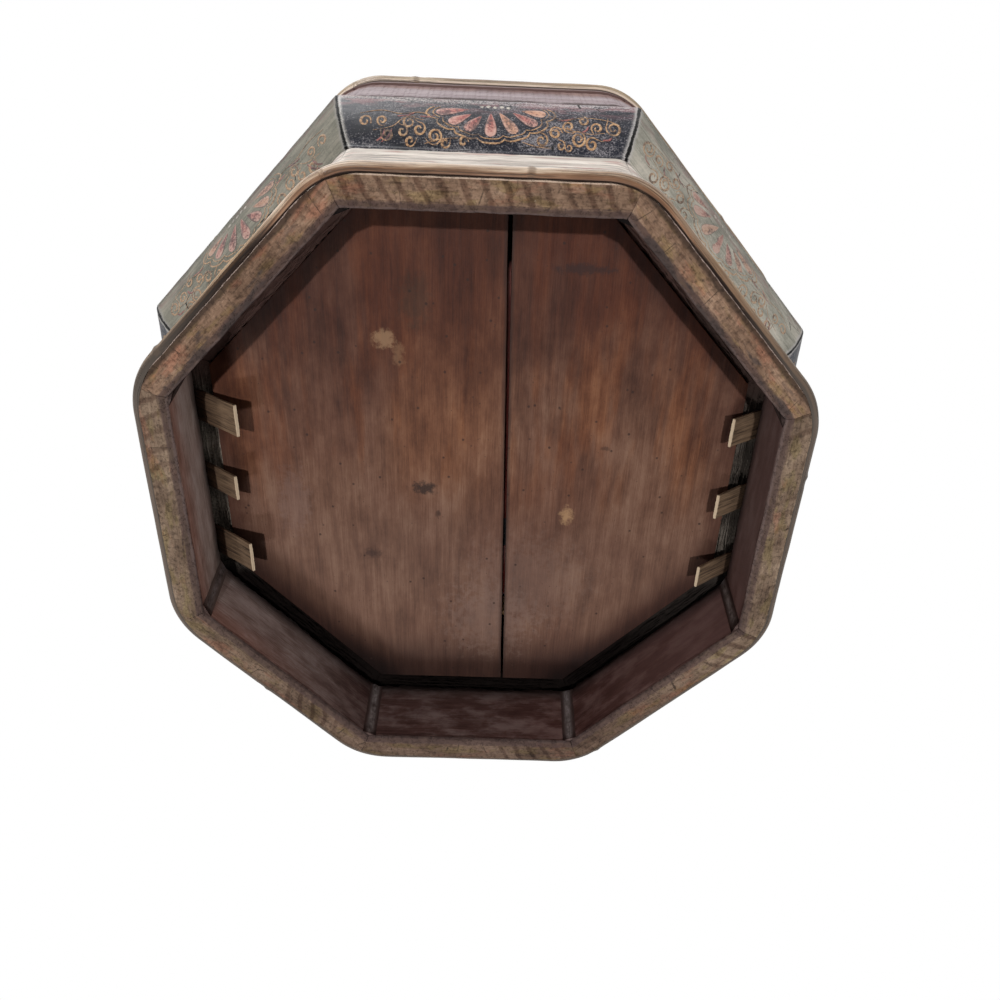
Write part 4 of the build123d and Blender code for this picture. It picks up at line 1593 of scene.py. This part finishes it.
for number, side in enumerate(SIDES):
    shoulder = side_bar(f"lid_panel_{side}_lacquered", side, shoulder_outline, arris=0.8, wear=0.2)
    fit(shoulder, "lid", "black_lacquer", black_lacquer, f"lid_panel_{side}")
    arc = on_arc(side, *shoulder_arc)
    flip = 1 if number % 2 == 0 else -1

    def place(u, w, lift):
        return arc(u, shoulder_length - shoulder_margin - w, lift)

    painting = panel_painting(f"lid_painting_{side}", place, flip, narrow=0.9)
    fit(painting, "lid", "black_lacquer", painted_colours)


# Lid top
# Two planks under black lacquer with a red field, painted with a round flower, and edged with a
# thin split pole.

top_low, top_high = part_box("lid_top_left")
top_bottom = top_low.z / MM
top_top = top_high.z / MM
top_out = -top_low.x / MM
top_corner_radius = 30.0
top_seam_offset = 9.0
top_seam_gap = 0.04
top_hoop_proud = 3.0
top_hoop_width = 7.0
field_reach = 118.0
border_lines = (117.0, 121.0, 141.0)
border_curls = 131
paint_sunk = 0.12


def top_finish():
    finish = Finish("top_lacquer")
    where = finish.where()
    x, y, _ = finish.in_mm(where)
    streak = finish.grain(where, (500.0, 16.0, 500.0), 5, 0.7)
    cloud = finish.cloud(where, scale=28, detail=5, roughness=0.65)
    speckle = finish.cloud(where, scale=600, detail=3)
    from_middle = abs(x).most(abs(y)).most((abs(x) + abs(y)) * 0.7071)
    field = finish.ramp(
        streak * 0.5 + cloud * 0.5,
        (0.35, (0.055, 0.008, 0.006)),
        (0.52, (0.13, 0.018, 0.012)),
        (0.7, (0.22, 0.06, 0.045)),
    )
    border = finish.ramp(
        cloud,
        (0.35, (0.009, 0.01, 0.013)),
        (0.6, (0.028, 0.028, 0.033)),
        (0.8, (0.12, 0.12, 0.12)),
    )
    colour = finish.mix(from_middle.rise(field_reach, field_reach + 1.0), field, border)
    colour = colour.coated(speckle.rise(0.62, 0.75) * 0.4, (0.24, 0.21, 0.2))
    colour = colour.coated((from_middle + speckle * 6).rise(147, 152) * 0.6, (0.34, 0.27, 0.22))
    height = streak * 0.4 + speckle * 0.2
    return finish.done(colour, 0.22 + cloud * 0.3, height, 0.15, specular_ior_level=0.5, coat_weight=0.25)


def top_plank(name, toward):
    """One plank of the lid's top: -1 is left of the seam and 1 is right of it."""
    seam = top_seam_offset + toward * top_seam_gap / 2
    section = softened([(0, 0, 0), (0, 1, 0), (1, 1, 0), (1, 0, 0)], radius=0.05, step=0.04)
    thickness = top_top - top_bottom
    rows = np.linspace(-top_out + 0.05, top_out - 0.05, 120)
    outline = []
    for facing in SIDES.values():
        for share in np.linspace(-1, 1, 24):
            o, a = octagon_place(np.array([top_out]), np.array([top_corner_radius]), share)
            outline.append(turned(radians(facing), o[0], a[0]))
    outline = sorted((y, abs(x)) for x, y in outline if x * toward > 0)
    ys = np.array([y for y, _ in outline])
    xs = np.array([x for _, x in outline])
    points = []
    for y in rows:
        outer = toward * float(np.interp(y, ys, xs))
        for share, level, _ in section:
            x = seam + (outer - seam) * share
            worn = 0.15 * noise.noise(Vector((x * 0.05, y * 0.02, level)))
            points.append((x, y, top_bottom + thickness * level - (0.15 + worn) * (level > 0.5)))
    return mesh_object(name, points, tube_faces(len(rows), len(section)), {})


top_lacquer = top_finish()
for name, toward in (("left", -1), ("right", 1)):
    board = top_plank(f"lid_top_{name}_lacquered", toward)
    fit(board, "lid", "top_lacquer", top_lacquer, f"lid_top_{name}")
top_hoop = hoop(
    "lid_top_hoop_split_pole",
    top_out,
    top_bottom + 1.0,
    top_hoop_width,
    top_hoop_proud,
    top_corner_radius,
    start=10.0,
)
fit(top_hoop, "lid", "bamboo_hoop", bamboo_skin, "lid_top_hoop")

ring = Painting(lambda u, w, lift: (u, w, top_top - paint_sunk + lift))
for count, inner, outer, half, offset in ((16, 10, 34, 4.6, 0.0), (16, 36, 58, 6.0, 0.5)):
    for index in range(count):
        turn = 2 * pi * (index + offset) / count
        ring.petal((inner * cos(turn), inner * sin(turn)), (outer * cos(turn), outer * sin(turn)), half)
        bend = [radians(degrees(turn) + swing * 360 / count / 2) for swing in (-1, -0.5, 0, 0.5, 1)]
        reach = (outer * 0.98, outer * 1.06, outer * 1.08, outer * 1.06, outer * 0.98)
        ring.line([(r * cos(b), r * sin(b)) for r, b in zip(reach, bend)], half=0.5, count=16)
for index in range(9):
    turn = 2 * pi * index / 8
    reach = 0 if index == 8 else 5
    ring.dot((reach * cos(turn), reach * sin(turn)), radius=1.7)
for index in range(24):
    turn = 2 * pi * index / 24
    for off, radius, turns, offset in ((78, 8.0, 1.5, 0.0), (97, 6.0, -1.3, pi / 24)):
        shift = turn + offset
        middle = (off * cos(shift), off * sin(shift))
        ring.curl(middle, radius, degrees(shift) + 120, turns, tail=5, tall=1.0, half=0.7)
for out in border_lines:
    for facing in SIDES.values():
        half_side = out * HALF_SHARE
        ends = [turned(radians(facing), out, along) for along in (-half_side, 0, half_side)]
        ring.line(ends, half=0.45, count=24)
for facing in SIDES.values():
    for along in range(-44, 45, 11):
        middle = turned(radians(facing), border_curls, along)
        ring.curl(middle, 4.0, facing + 90, turns=1.4, tail=3.5, tall=1.0, half=0.5)
fit(ring.finished("lid_top_painting"), "lid", "top_lacquer", painted_colours)


# Floor, light and camera
# A pale floor that only shows from above, so that the camera can look up at the basket's foot.
# The main light comes from below the front of the foot, and softer light from above.

floor_reach = 3.0
floor_level = -0.0002
floor_points = [(-1, -1), (1, -1), (1, 1), (-1, 1)]
floor_mesh = bpy.data.meshes.new("pale_floor")
floor_corners = [(x * floor_reach, y * floor_reach, floor_level) for x, y in floor_points]
floor_mesh.from_pydata(floor_corners, [], [(0, 1, 2, 3)])
floor = bpy.data.objects.new("pale_floor", floor_mesh)
bpy.context.scene.collection.objects.link(floor)
floor_paint = Finish("pale_floor")
shown = floor_paint.node("ShaderNodeBsdfDiffuse", inputs={"Color": (0.86, 0.86, 0.86)})
white = floor_paint.node("ShaderNodeEmission", inputs={"Color": (1.0, 1.0, 1.0), "Strength": 1.0})
clear = floor_paint.node("ShaderNodeBsdfTransparent")
from_basket = floor_paint.length(floor_paint.where())
faded = floor_paint.node("ShaderNodeMixShader", inputs={0: from_basket.rise(0.45, 1.1), 1: shown, 2: white})
behind = floor_paint.node("ShaderNodeNewGeometry", output="Backfacing")
one_sided = floor_paint.node("ShaderNodeMixShader", inputs={0: behind, 1: faded, 2: clear})
floor_paint.node("ShaderNodeOutputMaterial", inputs={"Surface": one_sided})
floor_mesh.materials.append(floor_paint.material)
floor.visible_shadow = False
floor.visible_diffuse = False

world = bpy.data.worlds.new("white_studio")
world.use_nodes = True
bpy.context.scene.world = world
ambient_level = 0.27


class Surround(Finish):
    """The world's nodes, made in the same way as a finish."""

    def __init__(self, world):
        self.tree = world.node_tree
        self.tree.nodes.clear()


surround = Surround(world)
ray_kinds = ("Is Camera Ray", "Is Glossy Ray", "Is Transmission Ray")
rays = [surround.node("ShaderNodeLightPath", output=kind) for kind in ray_kinds]
from_camera, mirrored, let_through = rays
seen = from_camera.most(mirrored).most(let_through)
level = ambient_level + seen * (1 - ambient_level)
glow = surround.node("ShaderNodeBackground", inputs={"Color": (1.0, 1.0, 1.0), "Strength": level})
surround.node("ShaderNodeOutputWorld", inputs={"Surface": glow})


def sun(name, toward, strength, angle):
    """A soft distant lamp that shines from one direction."""
    lamp = bpy.data.lights.new(name, "SUN")
    lamp.energy = strength
    lamp.angle = radians(angle)
    holder = bpy.data.objects.new(name, lamp)
    holder.rotation_euler = Vector(toward).to_track_quat("Z", "Y").to_euler()
    bpy.context.scene.collection.objects.link(holder)


sun("light_from_below", (-0.033, -0.284, -1.0), strength=1.95, angle=1.2)
sun("light_from_above", (-0.4, -0.9, 0.7), strength=2.4, angle=20)
sun("light_from_back", (-0.3, 0.33, -1.0), strength=0.75, angle=7)

camera_place = (0.0038, -0.2019, -0.3808)
camera_turn = radians(-2.15)
camera_rise = radians(-58.36)
camera_lens = 30.6
camera_shift = (0.0023, 0.080)
camera_data = bpy.data.cameras.new("photo_camera")
camera_data.lens = camera_lens
camera_data.sensor_width = 36.0
camera_data.shift_x, camera_data.shift_y = camera_shift
camera_data.clip_start = 0.01
camera = bpy.data.objects.new("photo_camera", camera_data)
back = Vector((sin(camera_turn) * cos(camera_rise), -cos(camera_turn) * cos(camera_rise), sin(camera_rise)))
camera.rotation_euler = back.to_track_quat("Z", "Y").to_euler()
camera.location = camera_place
bpy.context.scene.collection.objects.link(camera)
bpy.context.scene.camera = camera
bpy.context.scene.view_settings.view_transform = "Standard"
